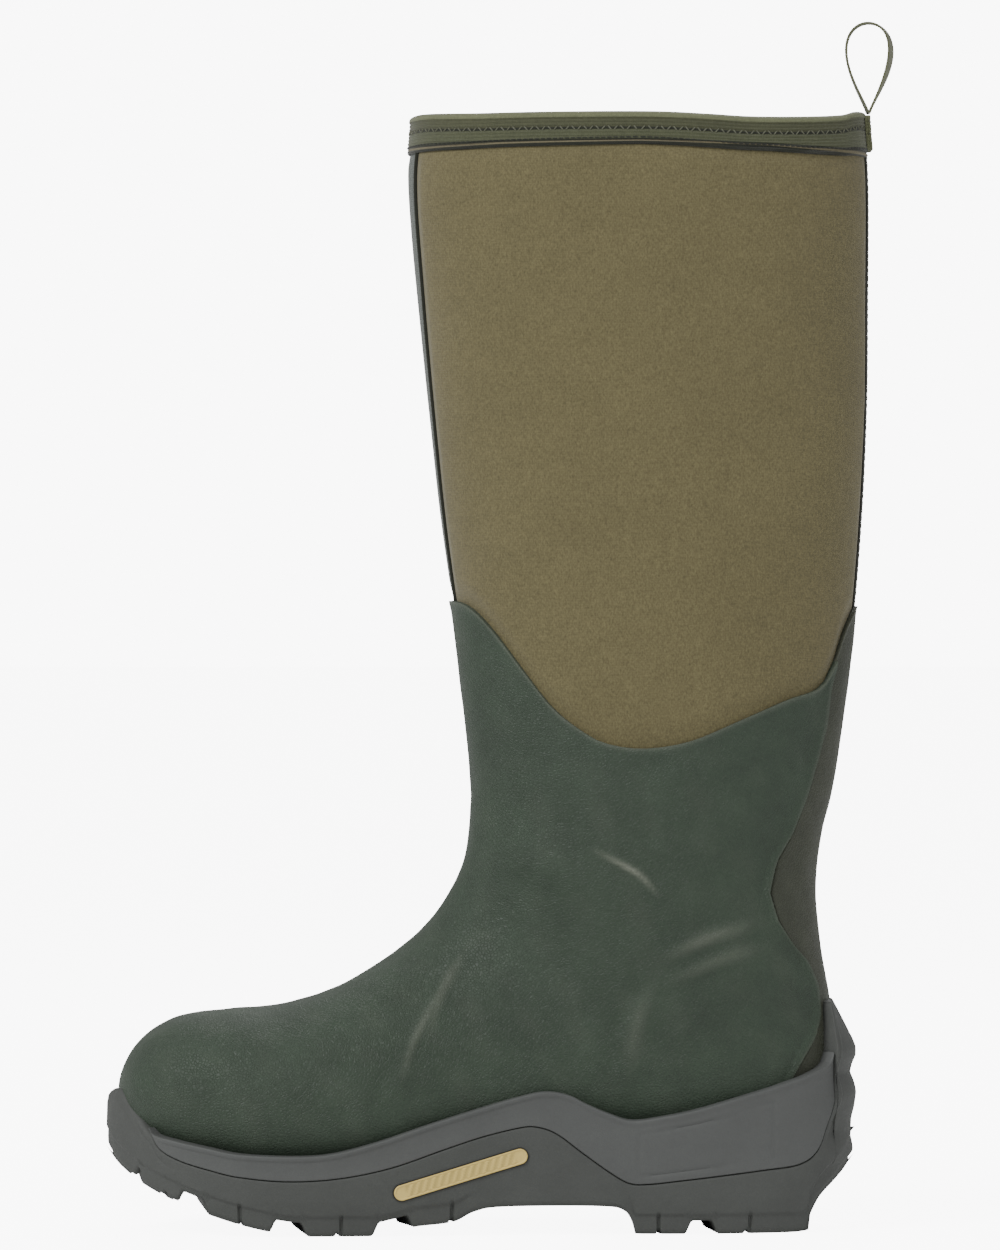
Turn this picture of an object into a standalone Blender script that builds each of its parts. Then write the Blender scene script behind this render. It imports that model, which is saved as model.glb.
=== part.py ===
"""An insulated rubber hunting boot for the right foot, as a lasted assembly of separate pieces.

The boot stands on its sole: +Z is up, the toe points to -X and the inner (medial) side is -Y.
The upper, the linings and the insoles are layers of one lofted surface, the last. The last is a row
of closed cross sections that lie level in the shaft, fan round the heel and end in a point at the
toe. The sole unit is a block of the sole's outline, cut by the curves of its side view.
"""

import math

import bmesh
import bpy
import numpy as np
from mathutils import Matrix

MM = 0.001

# Overall sizes. The pattern points further down are graded to these.
SOLE_LENGTH = 310 * MM
BOOT_HEIGHT = 460 * MM
SHAFT_DEPTH = 189 * MM
SHAFT_WIDTH = 83 * MM
BALL_WIDTH = 115 * MM
HEEL_WIDTH = 88 * MM

# Walls of the upper, from the outside in, and the fit between pieces that touch.
FIT = 0.3 * MM
RUBBER = 1.5 * MM
NEOPRENE = 5 * MM
LINING = 1.5 * MM
STIFFENER = 1.2 * MM
UNDERLAY = 3 * MM
FOOTBED = 5 * MM
COVER_CLOTH = 1 * MM

# Shaft trim.
FRONT_STRIP_TOP = 25 * MM
FRONT_STRIP_FOOT = 14 * MM
PIPING_WIDTH = 1.6 * MM
PIPING_PROUD = 0.6 * MM
BACK_TAPE_WIDTH = 10 * MM
BACK_TAPE = 0.8 * MM
BINDING = 1 * MM
BINDING_OUTSIDE = 15 * MM
BINDING_INSIDE = 12 * MM

# Pull loop.
WEBBING = 1.2 * MM
WEBBING_WIDTH = 12 * MM
LOOP_HEIGHT = 36.4 * MM
LOOP_SPREAD = 12.2 * MM
TAIL_LENGTH = 16 * MM

# Sole unit.
LUG_DEPTH = 5.5 * MM
SOLE_FLOOR = 5 * MM
SOLE_WALL = 5 * MM
END_WALL = 10 * MM
SHANK = 1.2 * MM
BADGE_LENGTH = 56 * MM
BADGE_HEIGHT = 6 * MM
BADGE_DEPTH = 2 * MM
BADGE_TILT = math.radians(16.7)

# Sizes that the pattern points are drawn at.
DRAWN_LENGTH = 310 * MM
DRAWN_HEIGHT = 460 * MM
DRAWN_SHAFT_DEPTH = 189 * MM
DRAWN_SHAFT_WIDTH = 83 * MM
DRAWN_BALL_WIDTH = 115 * MM
DRAWN_HEEL_WIDTH = 88 * MM
ANKLE_HEIGHT = 150 * MM
SHAFT_AXIS = 56 * MM
HEEL_ZONE, BALL_ZONE = 60 * MM, -40 * MM

# Cross sections of the last, from the top edge to the toe, in millimetres: the front (or top) point
# x, z; the back (or bottom) point x, z; half width; sideways shift; where it is widest, as a share of
# the way from back to front; and the squareness of its front and of its back half (2 is an ellipse).
SECTIONS = [
    (-35.8, 458.5, 150.0, 458.5, 40.0, 0.0, 0.50, 2.15, 2.15),
    (-37.4, 430.0, 151.7, 430.0, 41.5, 0.0, 0.50, 2.15, 2.15),
    (-33.6, 385.0, 151.6, 385.0, 42.0, 0.0, 0.50, 2.15, 2.15),
    (-28.9, 338.0, 151.1, 338.0, 42.0, 0.0, 0.50, 2.15, 2.15),
    (-23.5, 290.0, 148.8, 290.0, 41.2, 0.0, 0.50, 2.15, 2.15),
    (-16.4, 240.0, 144.4, 240.0, 40.5, 0.0, 0.50, 2.15, 2.15),
    (-10.8, 188.0, 137.2, 188.0, 39.8, 0.0, 0.50, 2.15, 2.15),
    (-10.5, 172.0, 131.4, 163.0, 39.4, 0.0, 0.50, 2.15, 2.15),
    (-11.0, 163.5, 129.2, 141.0, 39.2, 0.0, 0.50, 2.15, 2.15),
    (-12.0, 156.5, 131.0, 117.0, 39.0, 0.0, 0.50, 2.15, 2.25),
    (-13.4, 150.5, 135.4, 90.0, 38.5, 0.0, 0.48, 2.15, 2.40),
    (-15.5, 145.0, 136.2, 62.0, 38.0, 0.0, 0.46, 2.15, 2.50),
    (-18.2, 139.5, 126.0, 40.0, 38.0, 0.2, 0.42, 2.15, 2.50),
    (-22.0, 133.0, 96.0, 32.0, 38.8, 1.0, 0.40, 2.10, 2.55),
    (-27.8, 125.2, 60.0, 33.5, 40.8, 2.5, 0.38, 2.10, 2.60),
    (-37.0, 116.2, 24.0, 33.5, 43.5, 3.5, 0.37, 2.10, 2.60),
    (-50.5, 106.6, -12.0, 29.0, 47.5, 3.0, 0.37, 2.15, 2.60),
    (-68.5, 96.8, -47.0, 22.8, 51.0, 1.0, 0.38, 2.20, 2.60),
    (-90.0, 90.4, -80.0, 20.3, 51.3, 0.0, 0.39, 2.25, 2.60),
    (-112.5, 88.3, -110.0, 23.2, 46.8, -2.0, 0.40, 2.30, 2.60),
    (-134.5, 84.6, -134.0, 30.5, 37.5, -4.0, 0.42, 2.30, 2.50),
    (-149.5, 73.5, -149.5, 41.5, 23.0, -5.0, 0.46, 2.15, 2.30),
    (-155.5, 57.0, -155.5, 57.0, 0.0, -5.5, 0.50, 2.00, 2.00),
]
TOE_TIP = len(SECTIONS) - 1
JOIN_ROW = 6
# Columns of the lattice from the front centre to the back centre, as shares of the even spacing.
COLUMN_STEPS = [0, 0.6, 1.4, 2, 3, 4, 5, 6, 7, 8, 9, 10, 11, 12, 13, 14]
HALF_COLUMNS = len(COLUMN_STEPS) - 1
SHAFT_ROWS = [0, 1, 2, 3, 4, 5]
FOOT_ROWS = [7, 8, 9, 10, 10.5, 11, 11.5, 12, 12.5, 13, 14, 15, 16, 17, 18, 19, 19.5, 20, 20.5, 21, 21.4, 21.7, 22]
COUNTER_ROWS = (9, 13)
COUNTER_COLUMNS = (10, 20)
PUFF_ROW = 19
INSOLE_ROWS = (12.5, 20.5)
INSOLE_COLUMNS = (11, 19)
BOARD_ROWS = (13, 20)
BOARD_COLUMNS = (12, 18)
SHANK_ROWS = (14, 17)

# The sole seen from above, in millimetres, from the heel along the inner side and back along the outer.
SOLE_OUTLINE = [
    (147, 0), (138, -24), (118, -36.5), (85, -43.5), (45, -44), (10, -46.5), (-30, -52), (-72, -57.5),
    (-108, -55), (-136, -45), (-154, -27), (-162.5, -6), (-155, 15), (-138, 34), (-110, 49), (-72, 57.5),
    (-32, 57.5), (8, 52.5), (45, 47.5), (85, 44), (118, 36.5), (138, 24),
]
SOLE_RING = 66
# Height in millimetres and how far the wall is drawn in there, so that it is slightly barrelled.
SOLE_BARREL = [(-8, 3.0), (14, 0.8), (38, 0.0), (70, 0.8), (112, 2.5)]

# Curves of the side view, in millimetres (x, z), from toe to heel.
TREAD_LINE = [
    (-162.5, 34), (-158, 28.5), (-150, 22.5), (-141, 17.5), (-130, 12.8), (-117, 8.0), (-102, 3.6),
    (-88, 0.9), (-77, 0), (-52, 0), (-44, 1.2), (-34, 3.6), (-19, 5.4), (-10, 9.6), (2, 11.5), (40, 11.5),
    (51, 9.6), (55, 3), (58, 0), (121, 0), (126, 4.6), (131.5, 14.5), (141, 23.5), (148, 32),
]
FEATHER_LINE = [
    (-161, 57.6), (-157.5, 58.4), (-150, 49.5), (-143, 41.4), (-133, 38.6), (-106, 33.5), (-83, 32.7),
    (-67, 33.9), (-49, 38.5), (-28, 45.5), (-8, 51.7), (8, 56.3), (18.5, 58.4), (28, 57.1), (45, 49.3),
    (54, 46.6), (66, 48), (82, 51.3), (118, 61.7), (133, 67), (137.6, 72), (139, 83), (139.8, 93),
    (141.8, 89.5), (145.5, 81), (147, 76),
]
MIDSOLE_LINE = [
    (-157.5, 61), (-150, 51.5), (-143.5, 42.6), (-139, 34.8), (-130.6, 30.2), (-106, 24), (-86, 22.4),
    (-65, 23.6), (-44, 27.7), (-23, 34.8), (-8, 39.7), (7.7, 43.5), (15.1, 43.9), (23.4, 41), (34, 33.1),
    (45, 25.2), (53, 20.7), (61, 20.3), (87, 23.2), (108, 25.7), (122.7, 27.7), (130.2, 32.7),
    (134.3, 42.6), (138, 53), (138.2, 66),
]
RUBBER_TOP_LINE = [
    (-22, 259.5), (-12.6, 257), (-3.1, 247.9), (11.8, 228), (22, 215), (33, 206), (43.3, 200.5),
    (59, 198.3), (77.6, 201.2), (97.5, 209.4), (117.3, 218), (130, 222.6), (135.6, 230.5), (139.7, 242.6),
    (142.2, 249.2), (146.3, 257), (150, 260),
]
VAMP_REAR_LINE = [
    (137, 231), (135.1, 224), (133, 207.5), (129.8, 195), (125.2, 179), (119, 163.5), (112.4, 152),
    (109.6, 139), (112.8, 127.5), (119, 117.5), (125.2, 110), (129.3, 100), (130.2, 89), (128, 79.5),
    (122.7, 70), (118.6, 62.5), (110, 40), (104, 15),
]
BADGE_CENTRE = (-15.7, 25.0)
PUFF_EDGE_HEIGHT = 33
# Transverse grooves of the tread: x at the sole's edges, and width; each bends forward at the middle.
GROOVES = [(-129, 5), (-91, 9), (-45, 8), (84, 11)]
GROOVE_BEND = 7
CENTRE_GROOVES = [(-140, -30), (64, 116)]
CENTRE_GROOVE_WIDTH = 7


# ---- Curves and grading ----------------------------------------------------------------------


def spline(values, at, closed=False):
    """Catmull-Rom curve through numbered rows of values: row i is met at parameter i."""
    values = np.asarray(values, float)
    if closed:
        padded = np.concatenate([values[-1:], values, values[:2]])
    else:
        padded = np.concatenate([2 * values[:1] - values[1:2], values, 2 * values[-1:] - values[-2:-1]])
    at = np.asarray(at, float)
    first = np.clip(np.floor(at).astype(int), 0, len(padded) - 4)
    share = (at - first)[..., None]
    before, start, end, after = (padded[first + step] for step in range(4))
    slope = end - before
    bend = 2 * before - 5 * start + 4 * end - after
    twist = 3 * start - before - 3 * end + after
    return start + 0.5 * share * (slope + share * (bend + share * twist))


def rise(z):
    """Share of the way from the ankle to the top edge, at a height of the drawn pattern."""
    return np.clip((z - ANKLE_HEIGHT) / (DRAWN_HEIGHT - ANKLE_HEIGHT), 0, 1)


def graded(x, z):
    """A point of the drawn pattern, moved to the chosen sole length, boot height and shaft depth."""
    length = SOLE_LENGTH / DRAWN_LENGTH
    depth = SHAFT_DEPTH / DRAWN_SHAFT_DEPTH
    spread = length + (depth - length) * rise(z)
    new_x = SHAFT_AXIS * length + (x - SHAFT_AXIS) * spread
    return new_x, z + rise(z) * (BOOT_HEIGHT - DRAWN_HEIGHT)


def widened(y, x, z):
    """A sideways distance of the drawn pattern, moved to the chosen heel, ball and shaft widths."""
    toeward = np.clip((HEEL_ZONE - x) / (HEEL_ZONE - BALL_ZONE), 0, 1)
    heel = HEEL_WIDTH / DRAWN_HEEL_WIDTH
    ball = BALL_WIDTH / DRAWN_BALL_WIDTH
    foot = heel + (ball - heel) * toeward
    return y * (foot + (SHAFT_WIDTH / DRAWN_SHAFT_WIDTH - foot) * rise(z))


def graded_sections():
    """The section table in metres at the chosen sizes, with one row past the toe that mirrors it."""
    table = np.array(SECTIONS)
    table[:, :6] *= MM
    waist_x = table[:, 2] + table[:, 6] * (table[:, 0] - table[:, 2])
    waist_z = table[:, 3] + table[:, 6] * (table[:, 1] - table[:, 3])
    table[:, 4] = widened(table[:, 4], waist_x, waist_z)
    table[:, 5] = widened(table[:, 5], waist_x, waist_z)
    table[:, 0], table[:, 1] = graded(table[:, 0], table[:, 1])
    table[:, 2], table[:, 3] = graded(table[:, 2], table[:, 3])
    past = table[-2].copy()
    past[:4] = table[-2, [2, 3, 0, 1]]
    past[4] = -past[4]
    return np.vstack([table, past])


SECTION_TABLE = graded_sections()


def side_curve(points, per_point=1):
    """A side-view curve of the pattern in metres, with per_point steps between its points."""
    drawn = np.array(points, float) * MM
    steps = (len(drawn) - 1) * per_point
    curve = spline(drawn, np.linspace(0, len(drawn) - 1, steps + 1))
    return np.stack(graded(curve[:, 0], curve[:, 1]), axis=1)


def raised(curve, distance):
    """A side-view curve that runs from toe to heel, moved this distance square to itself, upwards."""
    along = np.gradient(curve, axis=0)
    along /= np.linalg.norm(along, axis=1, keepdims=True)
    return curve + distance * np.stack([-along[:, 1], along[:, 0]], axis=1)


# ---- The last --------------------------------------------------------------------------------


def last_surface(row, angle):
    """Points of the last: angle 0 is the front or top, a quarter turn the outer side, half the back."""
    front_x, front_z, back_x, back_z, half, shift, widest, front_square, back_square = np.moveaxis(
        spline(SECTION_TABLE, row), -1, 0
    )
    along, across = np.cos(angle), np.sin(angle)
    power = 2 / np.where(along >= 0, front_square, back_square)
    reach = np.abs(along) ** power
    lift = np.where(along >= 0, widest + (1 - widest) * reach, widest - widest * reach)
    x = back_x + (front_x - back_x) * lift
    z = back_z + (front_z - back_z) * lift
    return np.stack([x, shift + half * np.sign(across) * np.abs(across) ** power, z], axis=-1)


def last_normal(row, angle):
    """Outward normals of the last. At the toe tip, where the rows meet, it is taken just before."""
    step = 0.01
    row = np.minimum(row, TOE_TIP - 2 * step)
    down = last_surface(row + step, angle) - last_surface(row - step, angle)
    round_it = last_surface(row, angle + step) - last_surface(row, angle - step)
    normal = np.cross(round_it, down)
    return normal / np.linalg.norm(normal, axis=-1, keepdims=True)


def offset_points(row, angle, offset):
    """Points that lie offset outside the last; the toe tip's normals are averaged into one."""
    row, angle = np.broadcast_arrays(np.asarray(row, float), np.asarray(angle, float))
    normal = last_normal(row, angle)
    if row[-1, 0] >= TOE_TIP:
        mean = normal[-1].mean(axis=0)
        normal[-1] = mean / np.linalg.norm(mean)
    return last_surface(row, angle) + normal * np.broadcast_to(offset, row.shape)[..., None]


def row_at(height):
    """The shaft row whose section lies at this height."""
    rows = np.linspace(0, JOIN_ROW, 600)
    return float(np.interp(-height, -spline(SECTION_TABLE, rows)[:, 1], rows))


def seam_angle(row, distance, at_back=False):
    """The angle at which the last lies this distance to the side of its centre line."""
    section = spline(SECTION_TABLE, row)
    share = np.clip(distance / np.maximum(section[..., 4], MM), 0, 1)
    angle = np.arcsin(share ** (section[..., 8 if at_back else 7] / 2))
    return math.pi - angle if at_back else angle


def front_seam(row):
    """Half the front strip's width: it narrows down to the rubber and keeps that width under it."""
    share = np.clip(np.asarray(row, float) / SHAFT_ROWS[-1], 0, 1)
    return (FRONT_STRIP_TOP + (FRONT_STRIP_FOOT - FRONT_STRIP_TOP) * share) / 2


def lattice(rows, columns):
    """Angles of the numbered columns on each row: 0 at the front, 15 at the back and on to 30.

    Every layer uses these, so that the facets of two layers lie parallel. In the shaft, columns run
    down both sides of the front pipings and down the back tape's edges; below it they even out.
    """
    rows = np.asarray(rows, float)[:, None]
    columns = np.asarray(columns)[None, :]
    mirrored = columns > HALF_COLUMNS
    number = np.abs(np.where(mirrored, 2 * HALF_COLUMNS - columns, columns))
    step = np.array(COLUMN_STEPS)[number]
    beside_piping = PIPING_WIDTH / 2 + FIT
    strip = seam_angle(rows, front_seam(rows) - beside_piping)
    panel = seam_angle(rows, front_seam(rows) + beside_piping)
    tape = seam_angle(rows, BACK_TAPE_WIDTH / 2, at_back=True)
    dressed = panel + (tape - panel) * (number - 2) / (HALF_COLUMNS - 3)
    dressed = np.where(number == 1, strip, dressed)
    dressed = np.where(number == 0, 0, np.where(number == HALF_COLUMNS, math.pi, dressed))
    even = math.pi * step / COLUMN_STEPS[-1]
    blend = np.clip((rows - JOIN_ROW) / 2, 0, 1)
    angle = dressed + (even - dressed) * blend
    return np.where(mirrored, 2 * math.pi - angle, np.sign(columns) * angle)


def stretch_of(rows, first, last):
    """The rows from first to last, both included."""
    inside = [row for row in rows if first < row < last]
    return [first, *inside, last]


def rows_beside(row, distance):
    """How far to move along the rows to move this distance down the shaft."""
    height = spline(SECTION_TABLE, [row - 0.5, row + 0.5])[:, 1]
    return distance / (height[0] - height[1])


# ---- Meshes ----------------------------------------------------------------------------------


def material(name, colour, roughness, metallic=0.0):
    """A plain finish with one colour."""
    finish = bpy.data.materials.new(name)
    finish.use_nodes = True
    shader = finish.node_tree.nodes["Principled BSDF"]
    shader.inputs["Base Color"].default_value = (*colour, 1)
    shader.inputs["Roughness"].default_value = roughness
    shader.inputs["Metallic"].default_value = metallic
    finish.diffuse_color = (*colour, 1)
    return finish


def place(name, mesh, finish=None, pivot=(0, 0, 0)):
    """Puts a mesh in the boot as an object, with its origin at pivot; without a finish it is a cutter."""
    mesh.transform(Matrix.Translation(pivot).inverted())
    part = bpy.data.objects.new(name, mesh)
    part.parent = STAND
    part.location = pivot
    if finish is None:
        CUTTERS.objects.link(part)
        part.hide_render = True
        part.display_type = "WIRE"
    else:
        BOOT.objects.link(part)
        mesh.materials.append(finish)
        mesh.shade_smooth()
        mesh.set_sharp_from_angle(angle=math.radians(35))
    return part


def closed_mesh(name, points, faces):
    """A mesh of these faces with coincident points welded and all faces turned outwards."""
    mesh = bpy.data.meshes.new(name)
    mesh.from_pydata(np.asarray(points).reshape(-1, 3).tolist(), [], faces)
    shape = bmesh.new()
    shape.from_mesh(mesh)
    bmesh.ops.remove_doubles(shape, verts=shape.verts, dist=1e-6)
    bmesh.ops.recalc_face_normals(shape, faces=shape.faces)
    shape.to_mesh(mesh)
    shape.free()
    return mesh


def strip_faces(first, second, closed):
    """Triangles between two lists of point numbers, with every diagonal the same way round."""
    count = len(first)
    faces = []
    for i in range(count if closed else count - 1):
        following = (i + 1) % count
        faces.append((first[i], first[following], second[following]))
        faces.append((first[i], second[following], second[i]))
    return faces


def wall(name, rows, angles, outer, inner, closed=False):
    """A wall between two offsets of the last; closed goes right round the boot."""
    rows = np.asarray(rows, float)[:, None]
    skin = offset_points(rows, angles, outer)
    core = offset_points(rows, angles, inner)
    numbers = np.arange(2 * angles.size).reshape(2, *angles.shape)
    faces = []
    for side in numbers:
        for upper, lower in zip(side[:-1], side[1:]):
            faces += strip_faces(upper, lower, closed)
    faces += strip_faces(numbers[0, 0], numbers[1, 0], closed)
    if rows[-1, 0] < TOE_TIP:
        faces += strip_faces(numbers[0, -1], numbers[1, -1], closed)
    if not closed:
        faces += strip_faces(numbers[0, :, 0], numbers[1, :, 0], False)
        faces += strip_faces(numbers[0, :, -1], numbers[1, :, -1], False)
    return closed_mesh(name, [skin, core], faces)


def stack(name, rings, cap_last=True):
    """A solid through rings of points, closed by a flat face at the first ring and at the last."""
    rings = np.asarray(rings)
    numbers = np.arange(rings.shape[0] * rings.shape[1]).reshape(rings.shape[:2])
    faces = [tuple(numbers[0])]
    for lower, upper in zip(numbers[:-1], numbers[1:]):
        faces += strip_faces(lower, upper, True)
    if cap_last:
        faces.append(tuple(numbers[-1]))
    return closed_mesh(name, rings, faces)


def plate(name, loops, low, high, upright=True):
    """A flat outline with its holes, extruded: upright outlines lie in XZ, the others in XY."""
    curve = bpy.data.curves.new(name, "CURVE")
    curve.dimensions = "2D"
    curve.fill_mode = "BOTH"
    curve.extrude = (high - low) / 2
    for loop in loops:
        outline = curve.splines.new("POLY")
        outline.points.add(len(loop) - 1)
        for point, (first, second) in zip(outline.points, loop):
            point.co = (first, second, 0, 1)
        outline.use_cyclic_u = True
    drawn = bpy.data.objects.new(name, curve)
    bpy.context.scene.collection.objects.link(drawn)
    middle = (low + high) / 2
    drawn.location = (0, middle, 0) if upright else (0, 0, middle)
    drawn.rotation_euler.x = math.pi / 2 if upright else 0
    bpy.context.view_layer.update()
    evaluated = drawn.evaluated_get(bpy.context.evaluated_depsgraph_get())
    mesh = bpy.data.meshes.new_from_object(evaluated)
    mesh.transform(drawn.matrix_world)
    bpy.data.objects.remove(drawn)
    shape = bmesh.new()
    shape.from_mesh(mesh)
    bmesh.ops.remove_doubles(shape, verts=shape.verts, dist=1e-6)
    bmesh.ops.recalc_face_normals(shape, faces=shape.faces)
    shape.to_mesh(mesh)
    shape.free()
    return mesh


def boolean(target, tool, operation="DIFFERENCE"):
    """Cuts, keeps or adds what the tool covers."""
    step = target.modifiers.new(tool.name, "BOOLEAN")
    step.operation = operation
    step.object = tool
    step.solver = "EXACT"


# ---- Upper -----------------------------------------------------------------------------------


def whole_ring(rows):
    return lattice(rows, range(2 * HALF_COLUMNS))


def shaft_rows():
    """Rows of the shaft from the top edge to the join with the foot, with one at each binding edge."""
    rows = [*SHAFT_ROWS, row_at(BOOT_HEIGHT - BINDING_INSIDE), row_at(BOOT_HEIGHT - BINDING_OUTSIDE)]
    return stretch_of(sorted(rows), 0, JOIN_ROW - rows_beside(JOIN_ROW, FIT / 2))


def foot_rows():
    return [JOIN_ROW + rows_beside(JOIN_ROW, FIT / 2), *FOOT_ROWS]


def make_side_panels(finish):
    rows = shaft_rows()
    angles = lattice(rows, range(2, HALF_COLUMNS + 1))
    angles[:, -1] = seam_angle(np.array(rows), FIT / 2, at_back=True)
    for side, turned in (("lateral", angles), ("medial", -angles[:, ::-1])):
        name = f"side_panel_{side}"
        place(name, wall(name, rows, turned, 0, -NEOPRENE), finish)


def make_front_panel(finish):
    rows = shaft_rows()
    place("front_panel", wall("front_panel", rows, lattice(rows, range(-1, 2)), 0, -NEOPRENE), finish)


def make_front_pipings(finish):
    """A bead in each front seam: proud above the rubber and sunk below its edge."""
    top = row_at(BOOT_HEIGHT - BINDING_OUTSIDE - FIT)
    rows = stretch_of(SHAFT_ROWS, top, row_at(rubber_edge(0) + 2 * FIT))
    at = np.array(rows)
    near = seam_angle(at, front_seam(at) - PIPING_WIDTH / 2)
    far = seam_angle(at, front_seam(at) + PIPING_WIDTH / 2)
    angles = np.stack([near, far], axis=1)
    for side, turned in (("lateral", angles), ("medial", -angles[:, ::-1])):
        name = f"front_piping_{side}"
        place(name, wall(name, rows, turned, PIPING_PROUD, -NEOPRENE), finish)


def rubber_edge(place_index):
    """Height of the rubber's top edge at its first (front) or last (back) point."""
    return side_curve(RUBBER_TOP_LINE)[place_index, 1]


def make_back_tape(finish):
    """Tape over the back seam, from under the binding to the tip of the rubber tongue."""
    top = row_at(BOOT_HEIGHT - BINDING_OUTSIDE - FIT)
    rows = stretch_of(SHAFT_ROWS, top, row_at(rubber_edge(-1) + 2 * FIT))
    angles = lattice(rows, range(HALF_COLUMNS - 1, HALF_COLUMNS + 2))
    place("back_seam_tape", wall("back_seam_tape", rows, angles, FIT + BACK_TAPE, FIT), finish)


def make_linings(shaft_finish, foot_finish):
    outer = -NEOPRENE - FIT
    for name, rows, finish in (
        ("lining_shaft", shaft_rows(), shaft_finish),
        ("lining_foot", foot_rows(), foot_finish),
    ):
        place(name, wall(name, rows, whole_ring(rows), outer, outer - LINING, closed=True), finish)


def make_foot_bootie(finish):
    """Neoprene sock, thinned where the toe puff and the heel counter lie in it."""
    rows = foot_rows()
    at = np.array(rows)[:, None]
    column = np.arange(2 * HALF_COLUMNS)[None, :]
    toe = at >= PUFF_ROW
    beside_heel = (column >= COUNTER_COLUMNS[0]) & (column <= COUNTER_COLUMNS[1])
    heel = (at >= COUNTER_ROWS[0]) & (at <= COUNTER_ROWS[1]) & beside_heel
    outer = np.where(toe | heel, -STIFFENER - FIT, 0)
    place("foot_bootie", wall("foot_bootie", rows, whole_ring(rows), outer, -NEOPRENE, closed=True), finish)


def make_stiffeners(finish):
    rows = stretch_of(FOOT_ROWS, *COUNTER_ROWS)
    angles = lattice(rows, range(COUNTER_COLUMNS[0], COUNTER_COLUMNS[1] + 1))
    place("heel_counter", wall("heel_counter", rows, angles, 0, -STIFFENER), finish)
    rows = stretch_of(FOOT_ROWS, PUFF_ROW, TOE_TIP)
    puff = place("toe_puff", wall("toe_puff", rows, whole_ring(rows), 0, -STIFFENER, closed=True), finish)
    edge = PUFF_EDGE_HEIGHT * MM
    reach = SOLE_LENGTH
    under = plate("under_toe_puff", [[(-reach, -edge), (reach, -edge), (reach, edge), (-reach, edge)]],
                  -BALL_WIDTH, BALL_WIDTH)
    boolean(puff, place("under_toe_puff", under))


def make_board(finish):
    """The lasting board fills the opening that the rubber leaves under the foot."""
    rows = stretch_of(FOOT_ROWS, *BOARD_ROWS)
    angles = lattice(rows, range(BOARD_COLUMNS[0], BOARD_COLUMNS[1] + 1))
    place("lasting_board", wall("lasting_board", rows, angles, FIT + RUBBER, FIT), finish)
    ease = 0.01
    rows = [rows[0] - ease, *rows[1:-1], rows[-1] + ease]
    angles[:, 0] -= ease
    angles[:, -1] += ease
    return place("board_opening", wall("board_opening", rows, angles, 2 * RUBBER + FIT, 0))


def beyond(curve, low_x, high_x, height):
    """A side-view outline that holds everything above (or, with a low height, below) a curve."""
    return [(low_x, height), (low_x, curve[0, 1]), *map(tuple, curve), (high_x, curve[-1, 1]), (high_x, height)]


def make_rubber(vamp_finish, stay_finish, board_opening):
    """The rubber shell, cut to its scooped top edge and divided into the vamp and the back stay."""
    far = 2 * SOLE_LENGTH
    top = place("above_rubber", plate("above_rubber", [beyond(side_curve(RUBBER_TOP_LINE, 2), -far, far,
                                                              2 * BOOT_HEIGHT)], -BALL_WIDTH, BALL_WIDTH))
    rear = side_curve(VAMP_REAR_LINE, 2)
    rows = [SHAFT_ROWS[-2] + 0.3, SHAFT_ROWS[-1], JOIN_ROW, *FOOT_ROWS]
    for name, finish, end, ease in (
        ("rubber_vamp", vamp_finish, far, -FIT / 2),
        ("rubber_back_stay", stay_finish, -far, FIT / 2),
    ):
        shell = place(name, wall(name, rows, whole_ring(rows), FIT + RUBBER, FIT, closed=True), finish)
        edge = rear + (ease, 0)
        outline = [(end, 2 * BOOT_HEIGHT), (edge[0, 0], 2 * BOOT_HEIGHT), *map(tuple, edge),
                   (edge[-1, 0], -BOOT_HEIGHT), (end, -BOOT_HEIGHT)]
        other = place(f"{name}_rest", plate(f"{name}_rest", [outline], -BALL_WIDTH, BALL_WIDTH))
        boolean(shell, other)
        boolean(shell, top)
        boolean(shell, board_opening)


def make_binding(finish):
    """Tape folded over the top edge: a U-shaped profile carried round the mouth."""
    inside = -NEOPRENE - LINING - 2 * FIT
    outside_row = row_at(BOOT_HEIGHT - BINDING_OUTSIDE)
    inside_row = row_at(BOOT_HEIGHT - BINDING_INSIDE)
    crown = BOOT_HEIGHT - spline(SECTION_TABLE, [0])[0, 1]
    roll = BINDING / 2
    profile = [
        (outside_row, FIT, 0), (outside_row, FIT + BINDING, 0), (0, FIT + BINDING, 0),
        (0, FIT + BINDING - roll, crown), (0, inside - BINDING + roll, crown), (0, inside - BINDING, 0),
        (inside_row, inside - BINDING, 0), (inside_row, inside, 0), (0, inside, crown - BINDING),
        (0, FIT, crown - BINDING),
    ]
    angles = whole_ring([0])
    points = [offset_points([[row]], angles, offset)[0] + (0, 0, lift) for row, offset, lift in profile]
    numbers = np.arange(len(profile) * angles.size).reshape(len(profile), -1)
    faces = []
    for this, following in zip(numbers, np.roll(numbers, -1, axis=0)):
        faces += strip_faces(this, following, True)
    place("top_binding", closed_mesh("top_binding", points, faces), finish)


# ---- Pull loop -------------------------------------------------------------------------------


def loop_root():
    """The pull loop's hinge: above the sewn tail, which lies on the binding at the back."""
    height = BOOT_HEIGHT + FIT + WEBBING
    back = offset_points([[0.0]], [[math.pi]], FIT + BINDING + FIT + WEBBING)[0, 0]
    return back[0], height


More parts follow.
